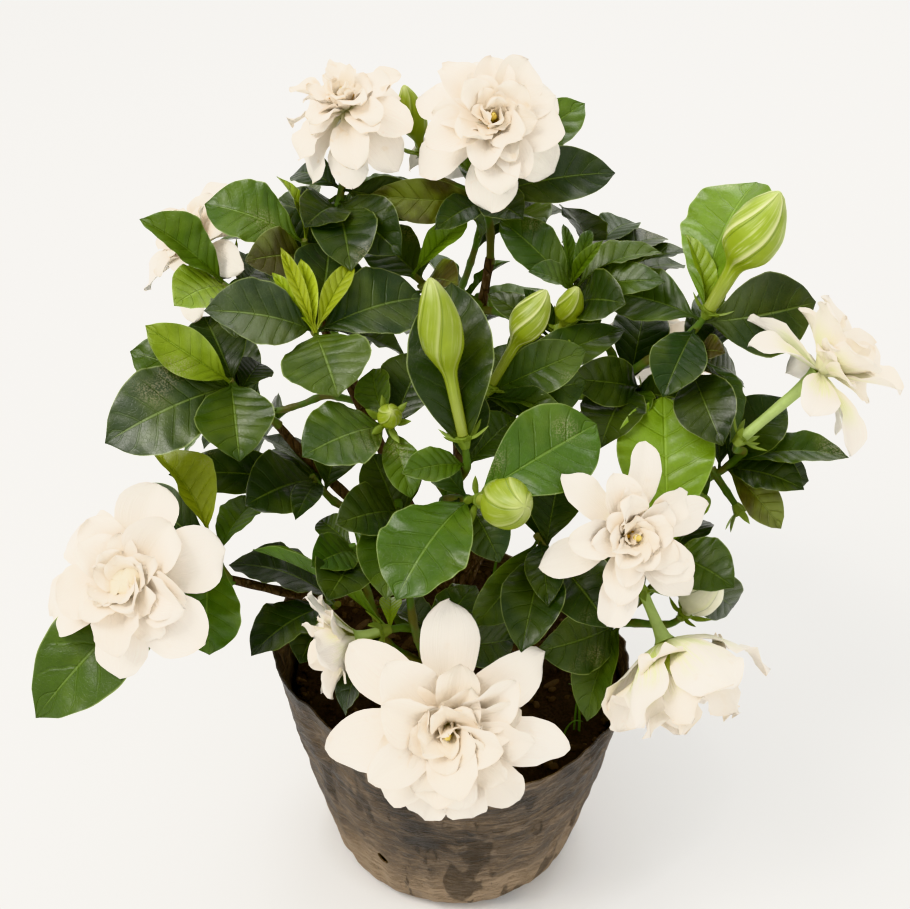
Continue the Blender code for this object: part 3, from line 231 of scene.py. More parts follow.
# Woody limbs: points in millimetres, from the fork to the end, and the radius at each end
LIMBS: dict[str, tuple[tuple[tuple[float, float, float], ...], float, float]] = {
    "trunk": (((0, 4, 68), (1, 4, 108), (0, 3, 138), (-2, 2, 168)), 6.0, 3.6),
    "left_low": (((0, 3, 134), (-34, -4, 160), (-74, -22, 186), (-100, -34, 206)), 3.4, 2.2),
    "left": (((-2, 2, 166), (-36, 8, 202), (-64, 10, 236), (-80, 8, 262)), 3.2, 2.2),
    "left_high": (((-2, 2, 164), (-28, 30, 212), (-50, 42, 262), (-62, 44, 296)), 3.2, 2.2),
    "top": (((-2, 2, 167), (2, 34, 224), (10, 56, 276), (16, 66, 312)), 3.4, 2.4),
    "centre": (((-2, 2, 162), (-4, -10, 200), (-3, -22, 230), (-2, -28, 250)), 3.2, 2.2),
    "right_high": (((-2, 2, 165), (28, 22, 210), (58, 28, 250), (78, 26, 276)), 3.2, 2.2),
    "right": (((0, 3, 140), (36, 0, 172), (70, 0, 200), (94, 0, 222)), 3.4, 2.2),
    "right_front": (((0, 3, 130), (28, -20, 150), (54, -38, 172), (70, -46, 190)), 3.2, 2.0),
    "front": (((0, 3, 126), (-6, -18, 144), (-10, -38, 158), (-12, -50, 168)), 3.0, 2.0),
    "back_left": (((-2, 4, 150), (-24, 44, 186), (-44, 72, 222), (-54, 84, 246)), 3.0, 2.0),
    "back_right": (((0, 4, 152), (26, 44, 190), (50, 70, 226), (60, 80, 250)), 3.0, 2.0),
    "back": (((-1, 4, 156), (2, 50, 180), (0, 84, 206), (-2, 98, 226)), 3.0, 2.0),
}

SHOOTS = (
    Shoot("central", (463, 447), -0.045, "centre", Foot(0.08125), (1,), (
        Leaf((448, 281), 72, 32, 8, False, bow=0.12, fold=16, bent=(8, -14)),
        Leaf((405, 470), 30, 14, 10, tone=Tone.BRIGHT),
        Leaf((517, 414), 34, 20, 12, False, tone=Tone.MATURE),
    )),
    Shoot("centre_front", (477, 497), -0.062, "centre", Foot(0.64375, 1, -0.8), (0,), (
        Leaf((395, 591), 56, 34, 3, fold=10, tone=Tone.BRIGHT, bent=(0, 14)),
        Leaf((599, 421), 62, 34, 3, False, bow=0.08, fold=10, tone=Tone.BRIGHT, bent=(0, 14)),
        Leaf((432, 452), 26, 13, 6, False, tone=Tone.MATURE, bent=(0, -28)), Leaf((500, 560), 30, 18, 8),
    )),
    Shoot("centre_left", (386, 424), -0.030, "centre", Foot(0.7625, 1), (1,), (
        Leaf((305, 450), 42, 30, 3, roll=8, bow=0.08, fold=8, tone=Tone.MATURE),
        Leaf((370, 367), 28, 15, 3, False, tone=Tone.BRIGHT, bent=(0, -28)),
        Leaf((411, 494), 34, 14, 5, tone=Tone.BRIGHT), Leaf((425, 350), 40, 24, 9, False),
    )),
    Shoot("centre_low", (398, 500), -0.035, "front", Foot(0.08125), (1,), (
        Leaf((386, 594), 44, 26, 3, tone=Tone.MATURE), Leaf((340, 520), 34, 22, 6),
        Leaf((436, 540), 34, 22, 9, bent=(0, -42)), Leaf((372, 452), 34, 20, 12, False),
    )),
    Shoot("crown_left", (315, 333), 0.0, "left_high", Foot(0.2265625), (2,), (
        Leaf((337, 391), 36, 34, fold=8, tone=Tone.MATURE),
        Leaf((210, 306), 50, 28, 4, fold=12, tone=Tone.GREY),
        Leaf((426, 292), 54, 30, 4, False, fold=10, tone=Tone.GREY),
        Leaf((331, 240), 46, 28, 7, False, tone=Tone.GREY, bent=(0, 14)),
        Leaf((262, 268), 42, 24, 10, False, tone=Tone.GREY),
        Leaf((282, 247), 34, 6, 0, False, bow=0.05, fold=30, tone=Tone.YOUNG),
        Leaf((301, 258), 32, 8, 0, False, bow=0.05, fold=30, tone=Tone.YOUNG),
        Leaf((353, 260), 36, 9, 0, False, bow=0.08, fold=30, tone=Tone.YOUNG),
        Leaf((273, 271), 26, 6, 0, bow=0.05, fold=30, tone=Tone.YOUNG, bent=(4, 0)),
    )),
    Shoot("high_left", (304, 240), 0.040, "left_high", Foot(1.34375, 1, 0.35), (2,), (
        Leaf((206, 200), 45, 25, near=False, bow=0.12, tone=Tone.BRIGHT),
        Leaf((367, 197), 40, 11, near=False, roll=-30, fold=30, tone=Tone.BRIGHT, bent=(22, -42)),
        Leaf((283, 174), 32, 12, 3, False, roll=20, tone=Tone.YOUNG, bent=(0, 42)),
        Leaf((318, 186), 32, 22, 6, False, bent=(4, 42)),
        Leaf((250, 258), 34, 20, 9, tone=Tone.BROWN, bent=(0, -14)),
    )),
    Shoot("far_left", (221, 283), 0.028, "left_high", Foot(0.9859375, 1), (6,), (
        Leaf((143, 216), 44, 18, near=False, roll=35, fold=34, tone=Tone.BRIGHT, bent=(-4, -28)),
        Leaf((176, 300), 30, 25, 4, bow=0.12, fold=10, tone=Tone.MOTTLED, bent=(0, 14)),
        Leaf((262, 262), 32, 22, 8, False, tone=Tone.GREY, bent=(0, 14)),
        Leaf((236, 330), 34, 22, 12, tone=Tone.GREY),
    )),
    Shoot("left", (230, 380), 0.0, "left", Foot(0.0796875), (2,), (
        Leaf((106, 438), 60, 34, 4, roll=-6, bow=0.12, fold=8, tone=Tone.GREY),
        Leaf((239, 457), 38, 30, 1, fold=18, tone=Tone.MATURE),
        Leaf((146, 326), 44, 18, near=False, roll=-35, bow=0.12, fold=34, tone=Tone.MOTTLED, bent=(-12, 14)),
        Leaf((131, 350), 48, 24, 7, tone=Tone.BRIGHT, bent=(0, -14)),
        Leaf((203, 312), 40, 25, 5, False, tone=Tone.GREY), Leaf((262, 360), 24, 16, 9, False),
    )),
    Shoot("left_inner", (312, 476), 0.0, "left", Foot(0.9828125, 3, -0.8), (2,), (
        Leaf((249, 500), 40, 28, 3), Leaf((169, 469), 60, 20, 8),
        Leaf((297, 512), 34, 12, 6, roll=30, bent=(-4, -28)),
        Leaf((262, 430), 40, 24, 10, False, bent=(8, 42)),
        Leaf((340, 420), 36, 22, 12, False, bent=(-4, 14)),
    )),
    Shoot("left_low", (205, 535), -0.030, "left_low", Foot(0.2515625), (0,), (
        Leaf((157, 448), 44, 20, near=False, roll=25, bow=0.14, fold=34, tone=Tone.YOUNG),
        Leaf((29, 714), 60, 37, 6, fold=10, tone=Tone.BRIGHT, bent=(8, 0)),
        Leaf((206, 655), 44, 30, 6, fold=16, tone=Tone.BRIGHT, bent=(0, 14)),
        Leaf((133, 488), 38, 22, 9, False, tone=Tone.GREY, bent=(12, -28)), Leaf((190, 560), 26, 14),
    )),
    Shoot("low_left", (352, 545), -0.040, "front", Foot(0.3609375, 1, 0.8), (0,), (
        Leaf((318, 517), 26, 12, near=False, tone=Tone.MATURE),
        Leaf((315, 562), 28, 18, 4, tone=Tone.MATURE, bent=(-4, 0)), Leaf((330, 592), 40, 24, 9),
    )),
    Shoot("low_dark", (338, 604), -0.030, "left_low", Foot(1.484375, 0, -0.35), (), (
        Leaf((233, 556), 50, 32, near=False, fold=8, bent=(0, 42)),
        Leaf((250, 648), 46, 28, 5, fold=8, bent=(0, 28)), Leaf((300, 660), 36, 22, 9, bent=(8, 0)),
    )),
    Shoot("bag_left", (392, 622), -0.050, "front", Foot(0.5109375, 2, -0.8), (), (
        Leaf((262, 537), 66, 10, near=False, roll=70, bow=0.05, fold=40, tone=Tone.BRIGHT),
        Leaf((391, 594), 24, 9, 3, False, fold=24, tone=Tone.YOUNG),
        Leaf((338, 712), 46, 26, 4, bent=(28, 42)),
    )),
    Shoot("front", (440, 640), -0.052, "front", Foot(1.4015625, 1, 0.0, 0.8), (0,), (
        Leaf((378, 600), 40, 22, 4, False, bent=(0, 42)), Leaf((520, 640), 44, 20, 6, False, bent=(0, 42)),
        Leaf((402, 618), 32, 18, 9, False, tone=Tone.MATURE, bent=(28, 28)),
        Leaf((425, 608), 34, 18, 10, False, tone=Tone.MATURE), Leaf((492, 596), 46, 26, 8, False),
    )),
    Shoot("front_right", (536, 535), -0.040, "right_front", Foot(0.7734375), (1,), (
        Leaf((476, 627), 48, 19, roll=-25, bow=0.14, fold=26, tone=Tone.MATURE, bent=(12, 0)),
        Leaf((522, 645), 52, 24, 9), Leaf((548, 600), 34, 15, 4, bent=(-4, 0)), Leaf((608, 622), 46, 26, 10),
        Leaf((560, 470), 38, 22, 9, False),
    )),
    Shoot("bag_right", (626, 618), -0.050, "right_front", Foot(0.2296875), (2,), (
        Leaf((584, 719), 48, 17, 3, bow=0.14, fold=26, tone=Tone.MATURE, bent=(8, 14)),
        Leaf((545, 652), 50, 26, 8, bent=(0, -42)), Leaf((640, 570), 36, 20, 8, False, bent=(-22, -28)),
    )),
    Shoot("right_front", (668, 545), -0.035, "right_front", Foot(0.7828125, 1, -0.35), (0,), (
        Leaf((664, 396), 60, 38, 4, bow=0.12, fold=8, tone=Tone.LIME),
        Leaf((690, 480), 34, 22, near=False, tone=Tone.LIME), Leaf((732, 583), 36, 24, 4, tone=Tone.MATURE),
        Leaf((741, 612), 46, 20, 8, False, bent=(17, 28)),
        Leaf((705, 455), 46, 14, 8, False, roll=40, tone=Tone.MATURE, bent=(22, -42)),
    )),
    Shoot("right_end", (737, 458), 0.0, "right", Foot(0.075), (0,), (
        Leaf((848, 450), 50, 17, 4, roll=-20, tone=Tone.MATURE), Leaf((811, 478), 36, 18, 6, bent=(8, 0)),
        Leaf((803, 484), 38, 20, 10, bent=(0, -14)), Leaf((783, 527), 34, 16, 8, tone=Tone.BROWN),
        Leaf((781, 396), 40, 25, 8, False),
    )),
    Shoot("right_mid", (696, 350), 0.018, "right", Foot(0.7484375, 1, 0.35), (0,), (
        Leaf((738, 440), 44, 18, roll=-20, bow=0.12, fold=22, tone=Tone.MATURE, bent=(12, -42)),
        Leaf((722, 350), 20, 12, tone=Tone.BROWN), Leaf((742, 372), 36, 22, 9, False),
        Leaf((720, 440), 42, 24, 10, bent=(0, 14)),
    )),
    Shoot("right_high", (706, 312), 0.022, "right_high", Foot(0.0640625), (0,), (
        Leaf((609, 289), 46, 25, 3, False, fold=12, tone=Tone.MATURE),
        Leaf((817, 305), 52, 34, 4, bow=0.08, fold=8, tone=Tone.GREY, bent=(17, 42)),
        Leaf((797, 296), 42, 7, 1, False, roll=50, bow=0.06, fold=40, tone=Tone.LIME),
        Leaf((664, 392), 38, 22, 8),
        Leaf((750, 175), 66, 36, near=False, bow=0.12, tone=Tone.LIME, bent=(8, -28)),
        Leaf((690, 233), 34, 9, 0, False, roll=30, fold=34, tone=Tone.YOUNG),
        Leaf((736, 244), 32, 10, 0, bow=0.12, fold=30, tone=Tone.YOUNG, bent=(28, 0)),
    )),
    Shoot("right_inner", (652, 384), 0.030, "right_high", Foot(1.3671875, 0, -0.35), (0,), (
        Leaf((622, 434), 36, 24, 4, tone=Tone.MATURE, bent=(4, 28)),
        Leaf((574, 378), 40, 20, 6, bent=(-12, -28)), Leaf((600, 440), 44, 26, 10, bent=(0, 14)),
        Leaf((690, 400), 34, 20, 8, bent=(4, 42)),
    )),
    Shoot("crown_right", (571, 286), 0.040, "right_high", Foot(0.909375), (0,), (
        Leaf((502, 217), 44, 20, 3, False, bow=0.08, tone=Tone.MATURE),
        Leaf((660, 247), 42, 16, 3, False, roll=-30, bow=0.14, fold=24, tone=Tone.MATURE),
        Leaf((661, 276), 42, 16, 6, tone=Tone.MATURE, bent=(0, -14)),
        Leaf((533, 268), 24, 14, 5, tone=Tone.MATURE, bent=(-8, 28)),
        Leaf((620, 300), 34, 22, 9, bent=(0, 14)),
        Leaf((565, 220), 34, 5, 0, False, bow=0.04, fold=30, tone=Tone.BRIGHT, bent=(0, 14)),
        Leaf((591, 226), 32, 6, 0, False, bow=0.06, fold=30, tone=Tone.BRIGHT),
        Leaf((599, 242), 28, 6, 0, bow=0.08, fold=30, tone=Tone.BRIGHT),
        Leaf((552, 238), 26, 6, 0, False, bow=0.04, fold=30, tone=Tone.BRIGHT, bent=(8, 0)),
    )),
    Shoot("centre_right", (491, 388), -0.005, "top", Foot(0.70625), (0,), (
        Leaf((585, 349), 46, 20, roll=-10, bow=0.08, tone=Tone.MATURE, bent=(-4, 28)),
        Leaf((626, 323), 54, 18, 8, False, tone=Tone.MATURE, bent=(22, 0)),
        Leaf((587, 382), 44, 24, 6, tone=Tone.MATURE, bent=(0, 28)),
        Leaf((568, 413), 42, 10, 4, bow=0.08, fold=28, tone=Tone.MATURE, bent=(4, -14)),
        Leaf((444, 350), 38, 22, 9, False),
    )),
    Shoot("middle_back", (540, 330), 0.030, "top", Foot(0.634375), (0,), (
        Leaf((490, 292), 34, 12, 6), Leaf((527, 290), 34, 10, 3, bent=(12, 0)),
        Leaf((600, 318), 36, 18, 8, tone=Tone.MATURE, bent=(22, 0)),
        Leaf((510, 360), 34, 16, 10, bent=(4, 0)),
    )),
    Shoot("top_left", (343, 183), 0.070, "left_high", Foot(0.6578125, 1, 0.0, 0.35), (6,), (
        Leaf((428, 210), 44, 17, 3, bent=(8, 14)), Leaf((292, 168), 34, 16, 3, False),
        Leaf((397, 250), 44, 24, 8, bent=(0, 14)), Leaf((350, 262), 46, 26, 10),
        Leaf((308, 220), 36, 20, 12),
    )),
    Shoot("top_right", (484, 186), 0.070, "top", Foot(0.096875), (1,), (
        Leaf((374, 197), 52, 18, 6, tone=Tone.BROWN, bent=(0, -42)),
        Leaf((615, 170), 58, 22, 5, False, bow=0.16, fold=20, tone=Tone.GREY, bent=(0, 14)),
        Leaf((584, 98), 60, 22, near=False, tone=Tone.BRIGHT), Leaf((438, 224), 34, 14, 8),
        Leaf((520, 214), 30, 18, 8),
        Leaf((418, 152), 36, 10, 3, False, bow=0.20, fold=20, tone=Tone.BRIGHT, bent=(0, 28)),
    )),
    Shoot("top_middle", (413, 275), 0.055, "top", Foot(1.09375), (0,), (
        Leaf((466, 218), 34, 11, 0, False, fold=34, tone=Tone.LIME),
        Leaf((420, 243), 30, 18, 5, False, tone=Tone.MATURE, bent=(0, -14)),
        Leaf((454, 280), 30, 18, 8, tone=Tone.BROWN), Leaf((368, 232), 38, 24, 8, False),
    )),
    Shoot("back_left_high", (-78, 98, 300), None, "back_left", Foot(0.0421875), (0, 0, 0, 0, 0, 1)),
    Shoot("back_left_low", (-104, 78, 220), None, "back_left", Foot(0.51875), (0, 1, 0, 0, 2, 0)),
    Shoot("back_high", (14, 120, 314), None, "back", Foot(0.0515625), (6, 5, 1, 0, 1, 0)),
    Shoot("back_low", (4, 138, 236), None, "back", Foot(0.75625, 1, 0.35), (0, 0, 0, 0, 0, 1)),
    Shoot("back_right_high", (66, 104, 292), None, "back_right", Foot(0.0671875), (0, 1, 1, 0, 2, 0)),
    Shoot("back_right_low", (102, 84, 218), None, "back_right", Foot(0.5765625), (4, 0, 5, 1, 0, 2)),
)

# The closed buds, all of which show in the picture
BUDS = (
    Bud("central", (463, 436), (430, 279), -0.045, 9.0, 66, 0.42),
    Bud("centre_front", (481, 500), (524, 506), -0.062, 10.5, 34, 0.30),
    Bud("centre_left", (388, 420), (391, 412), -0.030, 5.2, 12, 0.0),
    Bud("centre_right", (492, 384), (546, 291), -0.005, 8.0, 48, 0.45),
    Bud("middle_back", (561, 328), (577, 288), 0.026, 6.0, 24, 0.15),
    Bud("right_high", (710, 308), (779, 193), 0.022, 12.0, 62, 0.38),
    Bud("bag_right", (686, 612), (716, 574), -0.046, 9.5, 30, 0.10),
    Bud("top_right", (421, 148), (404, 86), 0.096, 6.5, 30, 0.12),
)

DOUBLE = (
    Ring(6, 0.48, 0.38, 6, -16),
    Ring(5, 0.37, 0.32, 32, 12, 30),
    Ring(4, 0.24, 0.22, 60, 56, 12),
)

BLOOMS = (
    Bloom("front", (449, 724), -0.092, (-0.03, -0.82, 0.48), 100, 24, (
        Ring(5, 0.48, 0.26, 8, -6, 0, (-12, 192)),
        Ring(4, 0.38, 0.22, 14, -4, 0, (228, 312)),
        Ring(6, 0.29, 0.21, 36, 12, 20),
        Ring(5, 0.20, 0.16, 60, 54, 50),
    )),
    Bloom("left_low", (136, 582), -0.062, (-0.22, -0.72, 0.70), 75, 22, DOUBLE, 20),
    Bloom("right_front", (626, 536), -0.064, (0.25, -0.72, 0.55), 66, 20, (
        Ring(6, 0.50, 0.27, 12, -8, 10),
        Ring(5, 0.38, 0.27, 36, 14, 30),
        Ring(4, 0.26, 0.22, 60, 50, 12),
    ), 8),
    Bloom("bag_right", (664, 640), -0.072, (0.34, -0.66, -0.52), 84, 22, (
        Ring(5, 0.52, 0.40, 4, 70, 0),
        Ring(5, 0.46, 0.30, 34, 86, 36),
        Ring(3, 0.42, 0.22, 70, 80, 10),
    ), 0),
    Bloom("top_left", (347, 114), 0.070, (-0.12, -0.22, 0.95), 58, 18, (
        Ring(7, 0.50, 0.34, -30, -56, 0),
        Ring(6, 0.45, 0.32, 0, -34, 26),
        Ring(5, 0.38, 0.22, 34, 14, 12),
        Ring(3, 0.26, 0.12, 74, 80, 48),
    ), 12),
    Bloom("top_right", (492, 126), 0.062, (0.02, -0.62, 0.62), 65, 20, (
        Ring(6, 0.48, 0.34, -8, -30, 0),
        Ring(5, 0.42, 0.32, 24, 4, 30),
        Ring(4, 0.32, 0.26, 52, 44, 12),
        Ring(3, 0.20, 0.16, 78, 86, 48),
    ), 30),
    Bloom("far_left", (203, 246), 0.052, (-0.45, -0.30, 0.60), 58, 18, (
        Ring(6, 0.50, 0.28, 8, -12, 0),
        Ring(4, 0.34, 0.26, 44, 28, 30),
    ), 20),
    Bloom("right_end", (818, 374), -0.012, (0.60, 0.12, 0.60), 66, 42, (
        Ring(6, 0.50, 0.26, -6, -30, 0),
        Ring(5, 0.44, 0.34, 50, 38, 30),
        Ring(3, 0.30, 0.22, 70, 66, 10),
    ), 20),
    Bloom("bag_left", (356, 638), -0.062, (-0.85, -0.20, -0.12), 54, 12, (
        Ring(6, 0.48, 0.34, 46, 34, 0),
        Ring(3, 0.36, 0.28, 70, 68, 30),
    ), 10),
    Bloom("back_high", (16, 126, 330), None, (0.10, 0.62, 0.76), 70, 18, DOUBLE),
    Bloom("back_right_low", (108, 92, 232), None, (0.62, 0.62, 0.42), 72, 18, DOUBLE),
)

# The petals that lean or rise otherwise than their layer, to be clear of its others, in degrees
PETAL_SHIFTS = {
    ("front", 5): (0, 8), ("front", 8): (0, -4), ("front", 18): (0, -4), ("front", 19): (6, 0),
    ("top_right", 17): (0, -4),
}


def ray(px: float, py: float) -> Vector:
    """Direction of the sight line through a picture position, not normalised."""
    return SIGHT + Vector(((px - MIDDLE[0]) / FOCAL, 0.0, 0.0)) + SIGHT_UP * ((MIDDLE[1] - py) / FOCAL)


def seen(px: float, py: float, back: float) -> Vector:
    """The point that shows at a picture position, at the depth y = back."""
    way = ray(px, py)
    return EYE + way * ((back - EYE.y) / way.y)


def given(place: tuple[int, ...], back: float | None) -> Vector:
    """The point that a table gives: a picture position with its depth, or else one in millimetres."""
    return Vector(place) * MM if back is None else seen(*place, back)


def reached(start: Vector, place: tuple[int, int], length: float, near: bool = True) -> Vector:
    """The point at a given length from a start that shows at a picture position.

    Args:
        start: where the length is measured from.
        place: the picture position.
        length: the distance from start.
        near: whether the point lies on the near side of start.

    Returns:
        The point, or the nearest one on the sight line where none lies at that length.
    """
    way = ray(*place).normalized()
    offset = EYE - start
    middle = -offset.dot(way)
    spread = middle * middle - offset.length_squared + length * length
    if spread < 0:
        return EYE + way * middle
    half = math.sqrt(spread)
    return EYE + way * (middle - half if near else middle + half)


def bend(start: Vector, lead: Vector, end: Vector, arrive: Vector, count: int) -> list[Vector]:
    """A smooth curve from start to end.

    Args:
        start: its first point.
        lead: the direction that it leaves along.
        end: its last point.
        arrive: the direction that it arrives along.
        count: the number of points.

    Returns:
        The points.
    """
    reach = (end - start).length * 0.40
    a, b = start + lead * reach, end - arrive * reach
    points = []
    for i in range(count):
        t = i / (count - 1)
        u = 1 - t
        points.append(start * u ** 3 + a * 3 * u * u * t + b * 3 * u * t * t + end * t ** 3)
    return points


def across_frame(axis: Vector) -> tuple[Vector, Vector]:
    """Two directions square to axis: the first as near to the picture's right as it can be."""
    first = (Vector((1.0, 0.0, 0.0)) - axis * axis.x).normalized()
    return first, axis.cross(first)


def turned(frame: Sequence[Vector], turn: float) -> Vector:
    """The direction at an angle between two that are square to each other."""
    return frame[0] * math.cos(turn) + frame[1] * math.sin(turn)


@dataclass(frozen=True)
class LeafShape:
    """Where a leaf lies: from its base to its tip, facing one way, bowed and folded."""

    base: Vector
    tip: Vector
    face: Vector
    width: float
    bow: float
    fold: float


@dataclass(frozen=True)
class PetalShape:
    """Where a petal lies: it leaves its root at the angle rise and bends to the angle curl."""

    root: Vector
    axis: Vector
    out: Vector
    length: float
    width: float
    rise: float
    curl: float
    lean: float


@dataclass(frozen=True)
class BudShape:
    """Where a bud lies, and its size, with the share of its length that is a neck."""

    base: Vector
    way: Vector
    length: float
    radius: float
    neck: float


@dataclass(frozen=True)
class BloomShape:
    """Where a bloom lies: the middle of its lowest hub, the direction that it faces, its width and
    its tube's length."""

    centre: Vector
    axis: Vector
    span: float
    tube: float


@dataclass
class Growth:
    """What one node of the bush is made of, as it was placed."""

    leaves: list[tuple[LeafShape, Tone]] = field(default_factory=list)
    stems: list[list[Vector]] = field(default_factory=list)
    calyxes: list[tuple[Vector, Vector]] = field(default_factory=list)
    petals: list[tuple[PetalShape, int]] = field(default_factory=list)
    bloom: BloomShape | None = None
    bud: BudShape | None = None


class Plant:
    """The whole bush, placed node by node as its solid model is."""

    hidden_tones = (Tone.MATURE, Tone.DARK, Tone.GREY, Tone.BRIGHT, Tone.DARK)
    hidden_lengths = (42, 42, 50, 50, 56, 56)

    def __init__(self) -> None:
        """Starts with nothing grown."""
        self.stems: dict[str, list[Vector]] = {}
        self.growths: dict[str, Growth] = {}
        self.random = random.Random(7)

    def growth(self, node: str) -> Growth:
        """The growth of a node, which is new at its first use."""
        return self.growths.setdefault(node, Growth())

    def open_bloom(self, name: str, bloom: BloomShape, rings: Iterable[Ring], turn: float) -> None:
        """Places a bloom: layers of petals, each layer on its own hub.

        Args:
            name: the bloom's shoot.
            bloom: where it lies.
            rings: its layers, lowest first.
            turn: how far the whole bloom is turned, in degrees.
        """
        growth = self.growth("bloom_" + name)
        growth.bloom = bloom
        frame = across_frame(bloom.axis)
        for number, ring in enumerate(rings):
            start, end = ring.fan
            step = math.radians((end - start) / (ring.count if end - start == 360 else ring.count - 1))
            level = number * (HUB_HEIGHT + 0.3 * MM)
            hub = (HUB_RADIUS - 0.5 * MM * number) * math.cos(min(0.38 * step, 0.55))
            for k in range(ring.count):
                out = turned(frame, math.radians(turn + ring.turn + start) + step * k)
                sway = self.random.uniform(-3, 3)
                length = ring.length * bloom.span * self.random.uniform(0.95, 1.05)
                lean, more = PETAL_SHIFTS.get((name, len(growth.petals)), (0, 0))
                root = bloom.centre + out * hub + bloom.axis * (level + HUB_HEIGHT / 2)
                shape = PetalShape(
                    root, bloom.axis, out, length, ring.width * bloom.span,
                    ring.rise + sway + more, ring.curl + sway + more, PETAL_LEAN + lean,
                )
                growth.petals.append((shape, number))

    def junctions(self, limb: str, head: Vector) -> list[tuple[Vector, Vector]]:
        """The places on a limb for a stem.

        Args:
            limb: the limb.
            head: where the stem leads to.

        Returns:
            Each place and the limb's direction there, the best place first.
        """
        points = [Vector(p) * MM for p in LIMBS[limb][0]]
        places = []
        for a, b in zip(points[1:], points[2:]):
            for t in (0.25, 0.6, 1.0):
                place = a.lerp(b, t)
                lean = (head - place).normalized().dot((b - a).normalized())
                places.append(((head - place).length * (1.6 - 0.6 * lean), place, (b - a).normalized()))
        return [entry[1:] for entry in sorted(places, key=lambda entry: entry[0])]

    def grow_stem(
        self, shoot: Shoot, head: Vector, ahead: Sequence[Vector] = (), axis: Vector | None = None
    ) -> None:
        """Places a green stem that stands just clear of its limb.

        Args:
            shoot: the stem's shoot.
            head: where its leaves stand.
            ahead: the points past the head.
            axis: the direction that it arrives along.
        """
        foot = shoot.foot
        place, lead = self.junctions(shoot.limb, head)[foot.place]
        arrive = axis if axis else ((head - place).normalized() + UP * 0.7).normalized()
        if len(ahead) and (ahead[0] - head).length > 4 * MM:
            arrive = ((ahead[0] - head).normalized() + arrive).normalized()
        side = lead.cross(arrive)
        side = side.normalized() if side.length > 0.1 else lead.orthogonal().normalized()
        swerve = (lead + side * foot.side + side.cross(lead) * foot.up).normalized()
        route = bend(place, swerve, head, arrive, 6)
        span = int(foot.share)
        green = [route[span].lerp(route[span + 1], foot.share - span), *route[2:]]
        self.growth("shoot_" + shoot.name).stems.append([*green, *ahead])
        self.stems[shoot.name] = green

    def grow_to_calyx(
        self, shoot: Shoot, head: Vector, end: Vector, way: Vector, tube: Sequence[Vector] = ()
    ) -> None:
        """Places a stem that ends in a calyx.

        Args:
            shoot: the stem's shoot.
            head: where its leaves stand.
            end: where the stem ends, in the calyx.
            way: the direction that the calyx opens in.
            tube: the end of the flower's tube, where a flower stands in the calyx.
        """
        if (end - head).length > 14 * MM:
            start = (head - Vector(LIMBS[shoot.limb][0][-1]) * MM).normalized()
            self.grow_stem(shoot, head, [*bend(head, start, end, way, 4)[1:], *tube])
        else:
            self.grow_stem(shoot, end, tube, way)

    def grow_shoot(self, shoot: Shoot, head: Vector) -> None:
        """Places a shoot's stems, and the calyx under its bloom and its bud if it carries them.

        Args:
            shoot: the shoot.
            head: where its leaves stand.
        """
        growth = self.growth("shoot_" + shoot.name)
        bloom = self.growths.get("bloom_" + shoot.name, Growth()).bloom
        bud = self.growths.get("bud_" + shoot.name, Growth()).bud
        if bloom:
            tube_end = bloom.centre - bloom.axis * GAP
            end = tube_end - bloom.axis * bloom.tube
            self.grow_to_calyx(shoot, head, end, bloom.axis, [tube_end])
            growth.calyxes.append((end - bloom.axis * CALYX_HEIGHT * 0.7, bloom.axis))
        if bud:
            foot = bud.base - bud.way * (CALYX_HEIGHT + 0.4 * MM)
            end = foot + bud.way * 1.0 * MM
            if bloom:
                start, along = self.below_head(shoot.name, 10 * MM)
                lead = ((end - start).normalized() + along * 0.5).normalized()
                growth.stems.append(bend(start, lead, end, bud.way, 5))
            else:
                self.grow_to_calyx(shoot, head, end, bud.way)
            growth.calyxes.append((foot, bud.way))
        if not bloom and not bud:
            self.grow_stem(shoot, head)

    def below_head(self, name: str, down: float) -> tuple[Vector, Vector]:
        """The point on a shoot's stem at a distance below its head.

        Args:
            name: the shoot.
            down: the distance along the stem.

        Returns:
            The point, and the stem's direction there.
        """
        points = self.stems[name]
        left = down
        for a, b in zip(reversed(points[:-1]), reversed(points[1:])):
            step = (b - a).length
            if left <= step:
                return b.lerp(a, left / step), (b - a).normalized()
            left -= step
        return points[0].lerp(points[1], 0.3), (points[1] - points[0]).normalized()

    def pictured_leaf(self, name: str, leaf: Leaf) -> None:
        """Places a leaf that the picture shows.

        Args:
            name: the leaf's shoot.
            leaf: its row in the tables.
        """
        base, _ = self.below_head(name, leaf.down * MM)
        push, turn = leaf.bent
        tip = reached(base, leaf.tip, leaf.length * MM, leaf.near) + ray(*leaf.tip).normalized() * push * MM
        along = (tip - base).normalized()
        face = (EYE - base).normalized() * 0.55 + UP * 0.45
        face = (face - along * face.dot(along)).normalized()
        face = Matrix.Rotation(math.radians(leaf.roll + turn), 3, along) @ face
        shape = LeafShape(base, tip, face, leaf.width * MM, leaf.bow, leaf.fold)
        self.growth("shoot_" + name).leaves.append((shape, leaf.tone))

